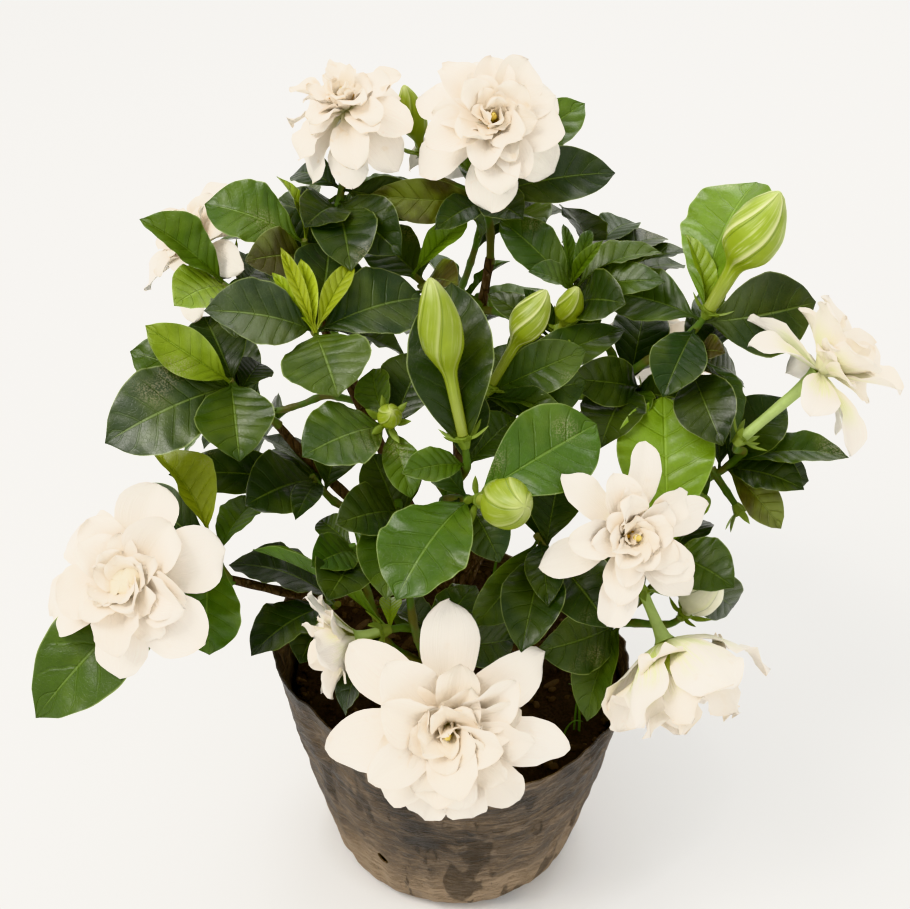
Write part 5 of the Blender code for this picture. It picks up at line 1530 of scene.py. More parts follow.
@dataclass
class LeafyShoot(Piece):
    """A green shoot: its leaves, its stems, and the calyxes under its bud and its bloom."""

    name: str
    growth: Growth
    has_tube: bool
    spent: Vector | None = None
    blade: float = 0.5 * MM
    spacing: float = 2.0 * MM
    stalk: float = 0.08
    taper: float = 0.93
    sunk: float = 3.2 * MM
    joint: float = 13 * MM
    tube_radii: tuple[float, ...] = (2.3, 2.2, 2.5, 3.3, 4.7)
    lobe_length: float = 14 * MM
    lobe_width: float = 3.4 * MM
    stem_tint: Colour = (0.085, 0.150, 0.030)
    calyx_tint: Colour = (0.180, 0.250, 0.050)
    tube_tint: Colour = (0.330, 0.430, 0.140)
    prefixes = ("leafy_", "shoot_")

    def past_stalk(self, s: np.ndarray | float) -> np.ndarray:
        """How far places along a leaf are past its stalk, from 0 to 1."""
        return np.clip((s - self.stalk) / (1 - self.stalk), 0, 1)

    def outline(self, s: np.ndarray, pointed: float) -> np.ndarray:
        """A leaf's width along it, as a share of its greatest width.

        Args:
            s: the places along it.
            pointed: how pointed it is.

        Returns:
            The width at each.
        """
        peak = 0.90 / pointed
        width = np.sin(math.pi * self.past_stalk(s) ** peak).clip(0) ** pointed
        end = math.sin(math.pi * self.past_stalk(self.taper) ** peak) ** pointed
        tail = np.clip((s - self.taper) / (1 - self.taper), 0, 1)
        return np.where(s > self.taper, end * (1 - tail) ** 1.1, width)

    def leaf(self, shape: LeafShape, tone: Tone, seed: int) -> Form:
        """A leaf: bowed, folded along its midrib, quilted between its veins and waved at its edges.

        Args:
            shape: where it lies.
            tone: its look.
            seed: the seed of what differs from leaf to leaf.

        Returns:
            Its form.
        """
        draw = random.Random(seed)
        look = tone.value
        way = np.array(shape.tip - shape.base)
        length = float(np.linalg.norm(way))
        along = way / length
        face = np.array(shape.face)
        face = unit(face - along * face.dot(along))
        fineness = 1 + max(0.0, look.crinkle - 0.5)
        s = spaced(0.0, 1.0, int(min(54, max(14, length / self.spacing * fineness))) + 1, 0.30)
        column = s[:, None]
        halves = LEAF_FULLNESS * shape.width / 2 * self.outline(s, look.pointed)
        halves = np.maximum(halves, 0.75 * MM * (1 - 0.85 * s))
        arch = shape.bow * length * 4 * s * (1 - s) - 0.10 * length * s * s
        middles = np.array(shape.base) + way * column + face * arch[:, None]
        across = LEAF_BLADE.across[None, :]
        v = np.abs(across)

        # The fold and a slight lean
        fold = math.tan(math.radians(shape.fold * 1.25)) * (1 + 0.25 * np.sin(9.0 * s + length / MM))
        lifts = (halves * fold)[:, None] * v ** 1.25
        lifts = lifts + (halves * draw.uniform(-0.14, 0.14) * s)[:, None] * across

        # The waves of the edges, the quilting between the veins and the groove of the midrib
        phases = np.where(across > 0, draw.uniform(0, 6), draw.uniform(0, 6))
        slow, quick = (np.sin(2 * math.pi * column * waves + phases) for waves in (3.3, 6.7))
        lifts = lifts + halves[:, None] * (0.05 + 0.05 * look.crinkle) * (slow * 0.6 + quick * 0.4) * v ** 2.2
        quilt = np.abs(np.sin(math.pi * (column * VEIN_PAIRS - v * VEIN_SLANT))) ** 0.8 - 0.5
        puff = look.crinkle * 1.5 * MM * length / (50 * MM)
        share = np.sin(math.pi * self.past_stalk(column)).clip(0)
        lifts = lifts + puff * quilt * v ** 0.5 * (1 - v ** 4) * share
        lifts = lifts - 0.30 * MM * np.exp(-((v / 0.10) ** 2)) * np.sin(math.pi * column)

        sides, faces = (np.broadcast_to(way, middles.shape) for way in (np.cross(face, along), face))
        thick = np.where(s < 0.10, 1.3 * MM, self.blade)
        rings = LEAF_BLADE.rings(middles, sides, faces, halves, lifts, thick)
        shade = draw.uniform(0.82, 1.18)
        red, green, blue = (part * shade for part in look.colour)
        tint = (red * (1 + draw.uniform(-0.10, 0.12)), green, blue)
        # The first note is the strength of the painted reflection of the sky, which also lowers the roughness
        habit = (look.shine_and_painted_reflection * draw.uniform(0.6, 1.0), look.mottle, look.veins)
        return Form(rings, tint, habit, along=column, across=across)

    def tube(self, start: Vector, end: Vector) -> Form:
        """The tube between a calyx and its flower, which widens to the flower.

        Args:
            start: its foot in the calyx.
            end: where the flower stands.

        Returns:
            Its form.
        """
        end = end + (end - start).normalized() * 0.8 * MM
        points = [start.lerp(end, t) for t in (0.0, 0.3, 0.65, 0.9, 1.0)]
        path, sizes = smooth_curve(points, [size * MM for size in self.tube_radii], 1.6 * MM)
        return Form(round_rings(path, sizes, 14), self.tube_tint, slot=1)

    def stem(self, points: list[Vector], tubed: bool = False) -> list[Form]:
        """A green stem with slight swellings at its joints.

        Args:
            points: what it runs through.
            tubed: whether its last span is the tube of a flower.

        Returns:
            The forms of the tube and of the stem.
        """
        foot = points[0] - (points[1] - points[0]).normalized() * self.sunk
        radii = [STEM_RADIUS * (1.02 - 0.22 * i / (len(points) - 1)) for i in range(len(points))]
        last = len(points) - 1 if tubed else len(points)
        path, sizes = smooth_curve([foot, *points[1:last]], radii[:last], 2.0 * MM)
        walk = np.concatenate(([0.0], np.cumsum(np.linalg.norm(np.diff(path, axis=0), axis=1))))
        swell = 1 + 0.20 * np.abs(np.cos(math.pi * walk / self.joint)) ** 10
        tubes = [self.tube(*points[-2:])] if tubed else []
        return [*tubes, Form(round_rings(path, sizes * swell, 10), self.stem_tint, (0.6, 0.0, 0.0), 1)]

    def calyx(self, foot: Vector, axis: Vector, seed: int) -> list[Form]:
        """A ribbed cup with six long narrow lobes that spread round what it holds.

        Args:
            foot: where it starts.
            axis: the direction that it opens in.
            seed: the seed of what differs from lobe to lobe.

        Returns:
            The forms of the cup and its lobes.
        """
        draw = random.Random(seed)
        way = np.array(axis.normalized())
        side = np.array(axis.orthogonal().normalized())
        frame = (side, np.cross(way, side))
        levels = np.array((0.0, 0.25, 0.6, 0.9, 1.0, 1.06))
        path = np.array(foot) + way * (levels * CALYX_HEIGHT)[:, None]
        ribs = 1 + 0.10 * np.cos(6 * 2 * math.pi * np.arange(24) / 24)
        radii = CALYX_RADIUS * np.interp(levels, (0, 0.3, 0.7, 1.0, 1.06), (0.55, 0.72, 0.92, 1.05, 0.7))
        cup = round_rings(path, radii[:, None] * ribs[None, :], 24)
        forms = [Form(cup, self.calyx_tint, (0.15, 0, 0), 1)]
        t = np.linspace(0, 1, 9)
        for k in range(6):
            out = turned(frame, 2 * math.pi * k / 6 + draw.uniform(-0.12, 0.12))
            spread = draw.uniform(0.75, 1.0)
            radial = CALYX_RADIUS * 0.9 + (CALYX_LOBE - CALYX_RADIUS) * 1.25 * spread * t ** 1.1
            height = CALYX_HEIGHT * 0.85 + self.lobe_length * (0.25 + 0.42 * (1.1 - spread)) * t ** 1.4
            middles = np.array(foot) + out * radial[:, None] + way * height[:, None]
            halves = self.lobe_width / 2 * np.interp(t, (0, 0.35, 0.7, 1), (0.65, 1.0, 0.75, 0.08))
            forms.append(strip(middles, np.cross(out, way), halves, self.calyx_tint))
        return forms

    def dropped(self, place: Vector) -> list[Form]:
        """A calyx whose flower has dropped, on a short stalk of its own.

        Args:
            place: where the calyx is.

        Returns:
            The forms of its stalk and of the calyx.
        """
        knots = self.growth.stems[0]
        points = [a.lerp(b, share / 10) for a, b in zip(knots, knots[1:]) for share in range(11)]
        start = min(points, key=lambda point: (point - place).length)
        return [*self.stem([start, place]), *self.calyx(place, place - start, 5)]

    def forms(self) -> Iterable[Form]:
        """The forms of the leaves, the stems and the calyxes.

        Returns:
            The forms, leaves first.
        """
        for i, (shape, tone) in enumerate(self.growth.leaves):
            yield self.leaf(shape, tone, self.seed * 31 + i)
        for i, points in enumerate(self.growth.stems):
            yield from self.stem(points, i == 0 and self.has_tube)
        for i, (foot, axis) in enumerate(self.growth.calyxes):
            yield from self.calyx(foot, axis, self.seed + i)
        if self.spent is not None:
            yield from self.dropped(self.spent)


@dataclass
class DoubleBloom(Piece):
    """An open double flower: layers of cupped, waved petals round a heart of stamens."""

    name: str
    growth: Growth
    age: float = 0.15
    green: float = 0.0
    flare: float = 1.0
    ruffle: float = 1.0
    rolled: bool = False
    petal_thickness: float = 0.55 * MM
    stations: int = 15
    whorls: tuple[tuple[float, ...], ...] = (
        (5, 0.36, 0.25, 34, 12), (5, 0.29, 0.22, 52, 30), (5, 0.22, 0.17, 68, 50), (4, 0.15, 0.12, 84, 74),
    )
    tint: Colour = (0.97, 0.91, 0.83)
    # The inner layers' colour: partly their own warm cream, partly painted light that brightens the shaded
    # heart
    heart_cream_and_painted_light: Colour = (0.99, 0.88, 0.72)
    core_tint: Colour = (0.97, 0.89, 0.70)
    stamen_tint: Colour = (0.55, 0.32, 0.08)
    stigma_tint: Colour = (0.75, 0.60, 0.16)
    prefixes = ("petals_", "bloom_")

    def petal(self, shape: PetalShape, layer: int, seed: int) -> Form:
        """A petal: it narrows to a claw, cups or arches, twists a little and waves at its edge.

        Args:
            shape: where it lies.
            layer: its layer, lowest first.
            seed: the seed of what differs from petal to petal.

        Returns:
            Its form.
        """
        draw = random.Random(seed)
        root, tip = -0.06, 1.06
        s = spaced(root, tip, self.stations, 0.60)
        share = np.clip(s, 0, 1)
        column = share[:, None]

        # The arch along the petal, and its twist
        sway = draw.uniform(-7, 7) * np.sin(math.pi * share)
        angles = np.radians(shape.rise + (shape.curl - shape.rise) * share + sway)
        recurve = draw.uniform(-6.0, 44.0) * self.flare
        angles = (angles - np.radians(recurve * np.clip((s - 0.66) / 0.40, 0, 1) ** 2))[:, None]
        out, axis = np.array(shape.out), np.array(shape.axis)
        ways = out * np.cos(angles) + axis * np.sin(angles)
        steps = np.diff(s, prepend=s[0])[:, None] * shape.length
        middles = np.array(shape.root) + ways[0] * s[0] * shape.length + np.cumsum(ways * steps, axis=0)
        faces = axis * np.cos(angles) - out * np.sin(angles)
        across = np.cross(axis, out)
        tilts = math.radians(shape.lean) + math.radians(draw.uniform(-16, 16)) * column ** 1.5
        sides = across * np.cos(tilts) + faces * np.sin(tilts)
        faces = faces * np.cos(tilts) - across * np.sin(tilts)

        # The outline
        power = draw.uniform(1.25, 1.65)
        full = np.sin(math.pi * (np.clip(s, 0.0, tip) / tip) ** power).clip(0) ** 0.62
        claw = np.interp(s, (root, 0.0, 0.25), (0.16, 0.22, 0.34)) * (s < 0.4)
        halves = shape.width / 2 * np.maximum(np.maximum(full * draw.uniform(0.88, 1.05), claw), 0.03)

        # The cup, the crease, the waves at the edge and the groove in the middle
        v = np.abs(PETAL_BLADE.across)[None, :]
        cup = draw.uniform(-0.04, 0.22) if layer == 0 else draw.uniform(0.14, 0.36)
        cup = np.interp(s, (root, 0.3, 0.75, tip), (0.30, 0.6 * cup + 0.08, cup, -0.10 * recurve / 44))
        crease = halves * draw.choice((0.0, 0.0, 0.16, 0.34))
        lifts = (halves * cup)[:, None] * v ** 1.7 + crease[:, None] * v
        phase = np.where(PETAL_BLADE.across > 0, draw.uniform(0, 6), draw.uniform(0, 6))[None, :]
        wave = np.sin(2 * math.pi * s[:, None] * draw.uniform(1.4, 2.4) + phase)
        wave = wave + 0.45 * np.sin(2 * math.pi * s[:, None] * draw.uniform(3.2, 4.6) + 2 * phase)
        frill = (0.055 + 0.02 * min(layer, 2)) * self.ruffle
        lifts = lifts + shape.width * frill * wave * v ** 2.4 * column
        lifts = lifts - 0.35 * MM * np.exp(-((v / 0.22) ** 2)) * column
        rings = PETAL_BLADE.rings(middles, sides, faces, halves, lifts, self.petal_thickness)
        bumps = [noise.noise(Vector(p)) for p in rings.reshape(-1, 3) * 55.0 + seed]
        swell = np.array(bumps).reshape(rings.shape[:2]) * 2.0 * MM * column
        rings = rings + faces[:, None] * swell[..., None]

        layer_note = layer / 4 + draw.uniform(0, 9)
        shade = draw.uniform(0.95, 1.04)
        # Layers nearer the heart take more of its colour: partly their own cream, partly painted light
        deep = min(1.0, layer * 0.20)
        tint = tuple((a + (b - a) * deep) * shade for a, b in zip(self.tint, self.heart_cream_and_painted_light))
        habit = (self.age * draw.uniform(0.5, 1.0), self.green * draw.uniform(0.4, 1.0), 0.0)
        along = (s / tip).clip(0)[:, None]
        return Form(rings, tint, habit, along=along, across=PETAL_BLADE.across[None, :], layer=layer_note)

    def ruffles(self) -> Iterable[Form]:
        """The small, crowded petals that stand between the open layers and the heart.

        Returns:
            Their forms.
        """
        bloom = self.growth.bloom
        draw = random.Random(self.seed + 5)
        for layer, (count, length, width, rise, curl) in enumerate(self.whorls, 1):
            start = draw.uniform(0, 6)
            for k in range(count):
                turn = start + 2 * math.pi * k / count + draw.uniform(-0.35, 0.35)
                out = turned(across_frame(bloom.axis), turn)
                lift = draw.uniform(-13, 13)
                root = bloom.centre + bloom.axis * (2.0 + 0.5 * layer) * MM + out * 1.6 * MM
                shape = PetalShape(
                    root, bloom.axis, out, length * bloom.span * draw.uniform(0.80, 1.15),
                    width * bloom.span * draw.uniform(0.8, 1.15), rise + lift, curl + lift,
                    draw.uniform(-4, 26),
                )
                yield self.petal(shape, layer, k + layer * 50 + self.seed)

    def core(self) -> Form:
        """The last petals of a heart, still rolled round each other into a blunt cone.

        Returns:
            Their one form.
        """
        bloom = self.growth.bloom
        s = np.linspace(0, 1, 26)
        wound = (4 * np.arange(44) / 44 % 1.0)[None, :]
        fold = (wound ** 2 - 0.4) * (1 - s[:, None] ** 6 * 0.5) * 0.52
        profile = np.interp(s, (0, 0.5, 0.8, 0.93, 1), (0.62, 0.92, 1.0, 0.80, 0.16))
        radii = bloom.span * 0.084 * profile[:, None] * (1 + fold)
        height = 3 * MM + bloom.span * 0.165 * s[:, None] ** 0.8
        rings = round_rings(np.array(bloom.centre) + np.array(bloom.axis) * height, radii, 44, 3.4 * s)
        return Form(rings, self.core_tint, (self.age, 0.0, 0.0), along=0.6, across=wound)

    def heart(self) -> Iterable[Form]:
        """The stamens and the stigma in the middle of the flower.

        Returns:
            Their forms.
        """
        bloom = self.growth.bloom
        draw = random.Random(self.seed)
        way = np.array(bloom.axis)
        frame = [np.array(v) for v in across_frame(bloom.axis)]
        foot = np.array(bloom.centre) + way * 4.0 * MM
        for k in range(6):
            turn = 2 * math.pi * k / 6 + draw.uniform(-0.3, 0.3)
            lean = math.radians(draw.uniform(22, 48))
            out = turned(frame, turn)
            reach = bloom.span * draw.uniform(0.10, 0.15)
            t = np.linspace(0, 1, 7)[:, None]
            rise = way * math.cos(lean) + out * math.sin(lean)
            path = foot + rise * reach * t + out * reach * 0.30 * t * t
            sizes = 0.75 * MM * np.array((0.35, 0.4, 0.9, 1.1, 1.0, 0.8, 0.3))
            yield Form(round_rings(path, sizes, 6), self.stamen_tint, slot=1)
        path = foot + way * bloom.span * 0.17 * np.linspace(0, 1, 8)[:, None]
        sizes = 1.1 * MM * np.array((0.5, 0.5, 0.55, 0.7, 1.1, 1.4, 1.2, 0.4))
        yield Form(round_rings(path, sizes, 8), self.stigma_tint, slot=1)

    def forms(self) -> Iterable[Form]:
        """The forms of all petals and of the heart.

        Returns:
            The forms, lowest layer first.
        """
        for i, (shape, layer) in enumerate(self.growth.petals):
            yield self.petal(shape, layer, self.seed * 17 + i)
        yield from self.ruffles()
        yield from [self.core()] if self.rolled else self.heart()


@dataclass
class FlowerBud(Piece):
    """A closed bud: its petals wind round each other above a slim neck."""

    name: str
    growth: Growth
    streaks: float = 0.3
    tint: Colour = (0.210, 0.270, 0.024)
    lobes: int = 5
    wind: float = 0.9
    around: int = 50
    levels: int = 30
    depth: float = 0.065
    head_sizes: tuple[tuple[float, float], ...] = ((0.22, 0.92), (0.52, 1.0), (0.82, 0.62), (1.0, 0.16))
    prefixes = ("closed_", "bud_")

    def swell(self, s: np.ndarray, neck: float) -> np.ndarray:
        """The bud's radius along it, as a share of its greatest.

        Args:
            s: the places along it.
            neck: the share of its length that is a neck.

        Returns:
            The radius at each.
        """
        knots = [(0.0, 0.24), (neck, 0.30)] if neck > 0.05 else [(0.0, 0.24)]
        knots += [(neck + (1 - neck) * t, size) for t, size in self.head_sizes]
        dense = np.pad(np.interp(s, *zip(*knots)), 2, mode="edge")
        soft = np.convolve(dense, (0.1, 0.22, 0.36, 0.22, 0.1), mode="valid")
        soft[-1] = 0.10
        return soft

    def forms(self) -> Iterable[Form]:
        """The bud's one form.

        Returns:
            The form.
        """
        shape = self.growth.bud
        s = np.linspace(0, 1, self.levels)
        head = np.clip((s - shape.neck) / (1 - shape.neck), 0, 1)
        wound = (self.lobes * np.arange(self.around) / self.around % 1.0)[None, :]
        fold = (wound - 0.5) * np.clip(head * 5, 0.15, 1)[:, None] * (1 - head[:, None] ** 6 * 0.5)
        radii = shape.radius * self.swell(s, shape.neck)[:, None] * (1 + self.depth * fold)
        path = np.array(shape.base + shape.way * GAP) + np.array(shape.way) * (s * shape.length)[:, None]
        twists = self.wind * 2 * math.pi / self.lobes * (head + 0.25 * s)
        rings = round_rings(path, radii, self.around, twists)
        yield Form(rings, self.tint, (self.streaks, 0.0, 0.0), across=wound)


@dataclass
class WoodyStems(Piece):
    """The trunk and its limbs: knotty wood that forks low over the soil."""

    spacing: float = 2.5 * MM
    around: int = 14
    bumps: float = 0.16
    knot: float = 9 * MM
    tint: Colour = (0.1, 0.07, 0.05)
    prefixes = ("wood", "woody_stems")
    name = ""

    def limb(self, route: Iterable[Point], first: float, last: float, seed: int) -> Form:
        """A limb of knotty wood from its fork to its end.

        Args:
            route: its points in millimetres.
            first: its radius at the fork, in millimetres.
            last: its radius at the end, in millimetres.
            seed: where its knots are drawn from.

        Returns:
            Its form.
        """
        points = [Vector(p) * MM for p in route]
        spans = len(points) - 1
        radii = [(first + (last - first) * i / spans) * MM * 0.86 for i in range(spans + 1)]
        path, sizes = smooth_curve(points, radii, self.spacing)
        bumps = []
        for x, y, z in path * 90.0:
            bumps.append([noise.noise(Vector((x + seed, y + seed, z + k * 1.3))) for k in range(self.around)])
        knots = np.abs(np.sin(np.arange(len(path)) * self.spacing / self.knot)) ** 6 * 0.10
        swell = 1 + self.bumps * np.array(bumps) + knots[:, None]
        return Form(round_rings(path, sizes[:, None] * swell, self.around), self.tint)

    def forms(self) -> Iterable[Form]:
        """The forms of the trunk and its limbs."""
        for number, (route, first, last) in enumerate(LIMBS.values()):
            yield self.limb(route, first, last, number * 7)


@dataclass
class GrowBag(Piece):
    """The film bag: a crumpled tub with a cut, wavy rim and small drain holes."""

    rim_radius: float = 90 * MM
    base_radius: float = 62 * MM
    height: float = 128 * MM
    film: float = 0.9 * MM
    foot: float = 14 * MM
    dent: float = 6 * MM
    hole_radius: float = 3.5 * MM
    hole_height: float = 41 * MM
    hole_turns: tuple[int, ...] = (-121, -1, 119)
    around: int = 260
    levels: int = 90
    crumple: float = 1.6 * MM
    wrinkles: tuple[tuple[float, float], ...] = ((1.0, 3.0), (0.55, 8.0), (0.22, 19.0))
    prefixes = ("film_bag", "grow_bag")
    name = ""

    def radius(self, turn: float, height: float) -> float:
        """The outer radius, with the creases, the dent and the rounded foot.

        Args:
            turn: the angle round the bag.
            height: the height over the ground.

        Returns:
            The radius.
        """
        share = height / self.height
        radius = self.base_radius + (self.rim_radius - self.base_radius) * share ** 0.85
        if height < self.foot:
            radius -= 6 * MM * (1 - height / self.foot) ** 2
        creases = math.sin(5 * turn + 0.7) + 0.6 * math.sin(9 * turn - 9 * share + 2.0)
        creases += 0.4 * math.sin(13 * turn + 5 * share)
        away = (math.degrees(turn) - 230) / 28
        return radius * (1 + 0.010 * creases * (0.25 + share)) - self.dent * share * math.exp(-away * away)

    def rim(self, turn: float) -> float:
        """Height of the cut rim, which stands high at the left of the front and sags at the right."""
        slope = 15 * math.cos(turn - math.radians(210))
        return self.height + (slope + 2.4 * math.sin(3 * turn + 2.2) + 1.4 * math.sin(7 * turn)) * MM

    def crumpled(self, turn: float, height: float) -> float:
        """The outer radius with the film's fine crumples, which fade out at the flat base.

        Args:
            turn: the angle round the bag.
            height: the height over the ground.

        Returns:
            The radius.
        """
        x, y = math.cos(turn) * 2.0, math.sin(turn) * 2.0
        place = Vector((x, y, height * 9.0))
        wrinkles = sum(share * noise.noise(place * scale) for share, scale in self.wrinkles)
        folds = abs(noise.noise(Vector((x * 3.1, y * 3.1, height * 5.0)))) * 1.6
        slants = abs(noise.noise(Vector((x * 2.2 + height * 26, y * 2.2 - height * 22, height * 14)))) * 1.1
        level = height + 4 * MM * math.sin(turn + 0.6)
        tucks = abs(noise.noise(Vector((x * 1.5, y * 1.5, level * 62)))) * 2.0
        tucks *= min(1.0, height / (80 * MM)) ** 2
        fade = min(1.0, height / (12 * MM)) * 0.75
        return self.radius(turn, height) + self.crumple * (wrinkles * 0.8 - folds - slants - tucks) * fade

    def forms(self) -> Iterable[Form]:
        """The film's one form: up its outer side and down its inner side.

        Returns:
            The form.
        """
        turns = [2 * math.pi * k / self.around for k in range(self.around)]
        outer, inner = [], []
        for share in (np.linspace(0, 1, self.levels) ** 0.9).tolist():
            ring, lining = [], []
            for turn in turns:
                cos, sin = math.cos(turn), math.sin(turn)
                nick = 0.9 * MM * noise.noise(Vector((cos * 9, sin * 9, 4.0)))
                height = share * (self.rim(turn) + nick * share)
                radius = self.crumpled(turn, height)
                ring.append((radius * cos, radius * sin, height))
                radius -= self.film
                lining.append((radius * cos, radius * sin, max(height, self.film)))
            outer.append(ring)
            inner.append(lining)
        centres = [np.array(ring) * (0.02, 0.02, 1.0) for ring in (outer[0], inner[0])]
        yield Form(np.array([centres[0], *outer, *reversed(inner), centres[1]]), (0.0, 0.0, 0.0))

    def mesh(self) -> bpy.types.Mesh:
        """Makes the film's mesh and cuts the drain holes through it.

        Returns:
            The mesh.
        """
        shape = bmesh.new()
        for degrees in self.hole_turns:
            turn = math.radians(degrees % 360)
            out = Vector((math.cos(turn), math.sin(turn), 0.0))
            place = out * self.radius(turn, self.hole_height) + UP * self.hole_height
            pose = Matrix.Translation(place) @ out.to_track_quat("Z", "Y").to_matrix().to_4x4()
            bmesh.ops.create_cone(
                shape, cap_ends=True, segments=18, radius1=self.hole_radius, radius2=self.hole_radius,
                depth=14 * MM, matrix=pose,
            )
        drills = bpy.data.meshes.new("drain_holes")
        shape.to_mesh(drills)
        shape.free()
        film = bpy.data.objects.new("film", super().mesh())
        holes = bpy.data.objects.new("drain_holes", drills)
        for thing in (film, holes):
            bpy.context.scene.collection.objects.link(thing)
        cut = film.modifiers.new("drain holes", "BOOLEAN")
        cut.operation = "DIFFERENCE"
        cut.solver = "EXACT"
        cut.object = holes
        bpy.context.view_layer.update()
        made = bpy.data.meshes.new_from_object(film.evaluated_get(bpy.context.evaluated_depsgraph_get()))
        for thing in (film, holes):
            bpy.data.objects.remove(thing)
        return made


@dataclass
class PottingSoil(Piece):
    """The soil: a lumpy top, loose crumbs, chips of bark and a few blades of grass, each with its
    place, its height and how far it bends over."""

    bag: GrowBag
    top: float = 107 * MM
    clearance: float = 3.2 * MM
    around: int = 120
    crumbs: int = 520
    chips: int = 70
    lump: float = 2.2 * MM
    lumps: tuple[tuple[float, float], ...] = ((1.0, 45.0), (0.5, 130.0), (0.25, 300.0))
    tint: Colour = (0.03, 0.02, 0.015)
    crumb_tints: tuple[Colour, ...] = (
        (0.030, 0.020, 0.014), (0.055, 0.038, 0.026), (0.110, 0.075, 0.048), (0.18, 0.13, 0.09),
    )
    grass_tint: Colour = (0.10, 0.19, 0.04)
    grass: tuple[tuple[float, ...], ...] = (
        (58, -34, 52, 4, -2), (60, -35, 40, -7, -4), (52, -42, 24, 8, -6), (-40, -52, 26, -8, -6),
        (20, 60, 34, 6, 8),
    )
    prefixes = ("soil", "potting_soil")
    name = ""

    def surface(self, x: float, y: float) -> float:
        """Height of the soil's top at a place."""
        place = Vector((x, y, 0.0))
        return self.top + self.lump * sum(share * noise.noise(place * scale) for share, scale in self.lumps)

    def bulk(self) -> Form:
        """The soil's body, from its base to its top.

        Returns:
            Its form.
        """
        turns = [2 * math.pi * k / self.around for k in range(self.around)]
        inset = self.bag.film + self.clearance
        rings = []
        for height in (inset, 6 * MM, 16 * MM, 46 * MM, 77 * MM, self.top - 2.5 * MM):
            reaches = [(t, self.bag.radius(t, height) - inset) for t in turns]
            rings.append([(math.cos(t) * reach, math.sin(t) * reach, height) for t, reach in reaches])
        rings[0] = [(x * 0.97, y * 0.97, z) for x, y, z in rings[0]]
        edge = rings[-1]
        for share in np.linspace(0.985, 0.02, 26).tolist():
            rings.append([(x * share, y * share, self.surface(x * share, y * share)) for x, y, _ in edge])
        centre = np.array(rings[0]) * (0.02, 0.02, 1.0)
        return Form(np.array([centre, *rings]), self.tint)

    def scattered(self) -> Iterable[Form]:
        """The crumbs and chips that lie on the soil.

        Returns:
            Their forms.
        """
        draw = random.Random(11)
        for k in range(self.crumbs + self.chips):
            turn = draw.uniform(0, 2 * math.pi)
            reach = math.sqrt(draw.random()) * (self.bag.radius(turn, self.top) - 5 * MM)
            x, y = reach * math.cos(turn), reach * math.sin(turn)
            chip = k >= self.crumbs
            size = (draw.uniform(3.0, 6.5) if chip else draw.uniform(0.8, 2.4)) * MM
            flat = draw.uniform(0.25, 0.45) if chip else draw.uniform(0.6, 1.0)
            way = Vector((draw.uniform(-1, 1), draw.uniform(-1, 1), draw.uniform(-0.3, 0.3))).normalized()
            middle = np.array((x, y, self.surface(x, y) + size * flat * 0.35))
            path = middle + np.array(way) * (np.array((-1.0, -0.7, 0.0, 0.7, 1.0)) * size)[:, None]
            radii = np.array((0.35, 0.85, 1.0, 0.8, 0.3))[:, None] * size * (0.42 if chip else 0.75)
            jitter = np.array([[draw.uniform(0.75, 1.2) for _ in range(7)] for _ in range(5)])
            rings = round_rings(path, radii * jitter, 7)
            rings[..., 2] = middle[2] + (rings[..., 2] - middle[2]) * flat
            yield Form(rings, draw.choice(self.crumb_tints))

    def weeds(self) -> Iterable[Form]:
        """The few thin blades of grass that have come up.

        Returns:
            Their forms.
        """
        t = np.linspace(0, 1, 12)
        for x, y, height, east, north in self.grass:
            foot = np.array((x * MM, y * MM, self.surface(x * MM, y * MM) - 3 * MM))
            bent = np.array((east, north, 0.0)) * MM * t[:, None] ** 2
            middles = foot + bent + np.array((0.0, 0.0, height * MM)) * np.sin(t * 1.45)[:, None]
            side = unit(np.array((-north, east, 0.0)))
            yield strip(middles, side, 0.9 * MM * (1 - t ** 2.2) + 0.06 * MM, self.grass_tint)

    def forms(self) -> Iterable[Form]:
        """The forms of the soil's body and of what lies or grows on it."""
        return [self.bulk(), *self.scattered(), *self.weeds()]


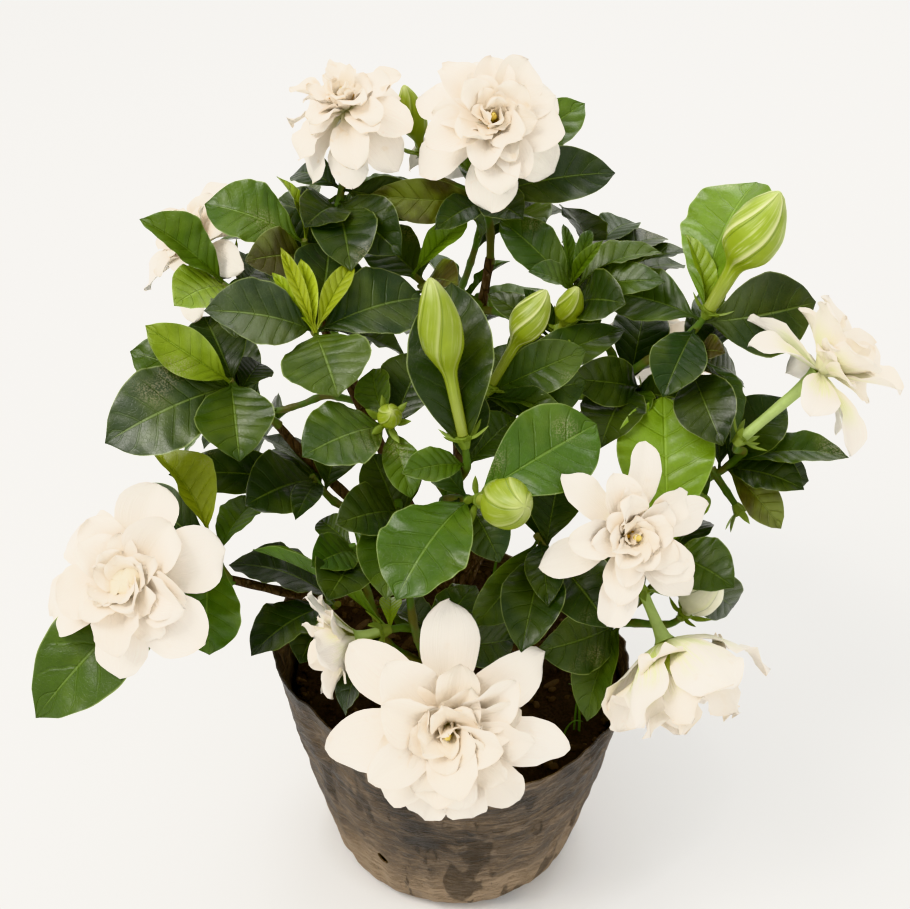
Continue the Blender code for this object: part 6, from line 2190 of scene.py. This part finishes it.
@dataclass
class Studio:
    """The plain pale floor, the soft light and the camera."""

    floor_size: float = 60.0
    sky: Colour = (1.0, 0.985, 0.955)
    sky_strength: float = 0.95
    aim: Point = (0.0, 0.0, 0.22)

    def floor(self) -> None:
        """Lays the floor."""
        half = self.floor_size / 2
        corners = [(-half, -half, 0), (half, -half, 0), (half, half, 0), (-half, half, 0)]
        mesh = bpy.data.meshes.new("floor")
        mesh.from_pydata(corners, [], [(0, 1, 2, 3)])
        mesh.materials.append(FloorFinish().make())
        ground = bpy.data.objects.new("floor", mesh)
        bpy.context.scene.collection.objects.link(ground)
        ground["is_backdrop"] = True

    def lamp(self, name: str, place: Point, size: float, power: float, colour: Colour) -> None:
        """Hangs a soft square light that faces the plant.

        Args:
            name: its name.
            place: where it hangs.
            size: the length of its side.
            power: its power in watts.
            colour: its colour.
        """
        light = bpy.data.lights.new(name, "AREA")
        light.shape = "SQUARE"
        light.size = size
        light.energy = power
        light.color = colour
        lamp = bpy.data.objects.new(name, light)
        lamp.location = place
        lamp.rotation_euler = (Vector(self.aim) - Vector(place)).to_track_quat("-Z", "Y").to_euler()
        bpy.context.scene.collection.objects.link(lamp)

    def light(self) -> None:
        """Sets the even light of a bright, overcast day."""
        bpy.context.scene.view_settings.view_transform = "Khronos PBR Neutral"
        world = bpy.data.worlds.new("soft_sky")
        world.use_nodes = True
        background = world.node_tree.nodes["Background"]
        background.inputs["Color"].default_value = (*self.sky, 1.0)
        background.inputs["Strength"].default_value = self.sky_strength
        bpy.context.scene.world = world
        self.lamp("key", (-0.9, -0.5, 1.7), 0.8, 27.0, (1.0, 0.96, 0.91))
        self.lamp("back", (0.5, 1.3, 1.5), 1.2, 15.0, (1.0, 0.98, 0.96))
        self.lamp("fill", (1.2, -1.2, 0.7), 1.4, 5.0, (1.0, 0.99, 0.97))

    def camera(self) -> None:
        """Sets the camera where the picture was taken."""
        lens = bpy.data.cameras.new("camera")
        lens.sensor_width = SENSOR_WIDTH
        lens.lens = FOCAL / IMAGE_WIDTH * SENSOR_WIDTH
        lens.clip_start = 0.01
        camera = bpy.data.objects.new("camera", lens)
        camera.location = EYE
        camera.rotation_euler = (math.pi / 2 - TILT, 0.0, 0.0)
        bpy.context.scene.collection.objects.link(camera)
        bpy.context.scene.camera = camera


# What sets a bloom or a bud apart from the others of its kind
BLOOM_LOOKS: dict[str, dict[str, float]] = {
    "front": {"age": 0.3}, "right_front": {"age": 0.35}, "top_right": {"age": 0.6}, "far_left": {"age": 1.0},
    "top_left": {"age": 0.9, "ruffle": 1.4}, "left_low": {"rolled": True}, "back_high": {"rolled": True},
    "bag_right": {"age": 0.45, "green": 0.9, "flare": 0.25, "ruffle": 2.0},
    "bag_left": {"green": 0.7, "flare": 0.25}, "right_end": {"green": 0.5, "flare": 0.25},
}
BUD_LOOKS: dict[str, dict[str, object]] = {
    "centre_right": {"streaks": 0.8}, "middle_back": {"streaks": 0.5},
    "bag_right": {"streaks": 0.5, "tint": (0.72, 0.70, 0.52)},
    "right_high": {"streaks": 0.9, "tint": (0.250, 0.330, 0.030)},
}
# Where a calyx shows whose flower has dropped
SPENT_CALYXES = {"right_end": (735, 504, -0.006)}


def main() -> None:
    """Builds every piece around the frame, in order."""
    logging.basicConfig(level=logging.INFO, format="%(name)s: %(message)s")
    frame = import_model()
    box_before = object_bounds()
    slots = {part["node"]: part["material_slot"] for part in frame["record"]["subparts"]}
    leaf, stem, petal, stamen = (f().make() for f in (LeafFinish, StemFinish, PetalFinish, StamenFinish))
    bud = BudFinish().make()
    bag = GrowBag()
    bag.build(slots, FilmFinish().make())
    PottingSoil(bag).build(slots, SoilFinish().make(), stem)
    WoodyStems().build(slots, BarkFinish().make())
    plant = Plant()
    plant.grow()
    for node, growth in plant.growths.items():
        kind, name = node.split("_", 1)
        if kind == "shoot":
            spent = seen(*SPENT_CALYXES[name]) if name in SPENT_CALYXES else None
            LeafyShoot(name, growth, "bloom_" + name in plant.growths, spent).build(slots, leaf, stem)
        elif kind == "bloom":
            DoubleBloom(name, growth, **BLOOM_LOOKS.get(name, {})).build(slots, petal, stamen)
        else:
            FlowerBud(name, growth, **BUD_LOOKS.get(name, {})).build(slots, bud)
    studio = Studio()
    studio.floor()
    studio.light()
    studio.camera()
    boxes = {"cad": box_before, "visual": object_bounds()}
    {name: [list(map(float, corner)) for corner in box] for name, box in boxes.items()}


if __name__ == "__main__":
    main()
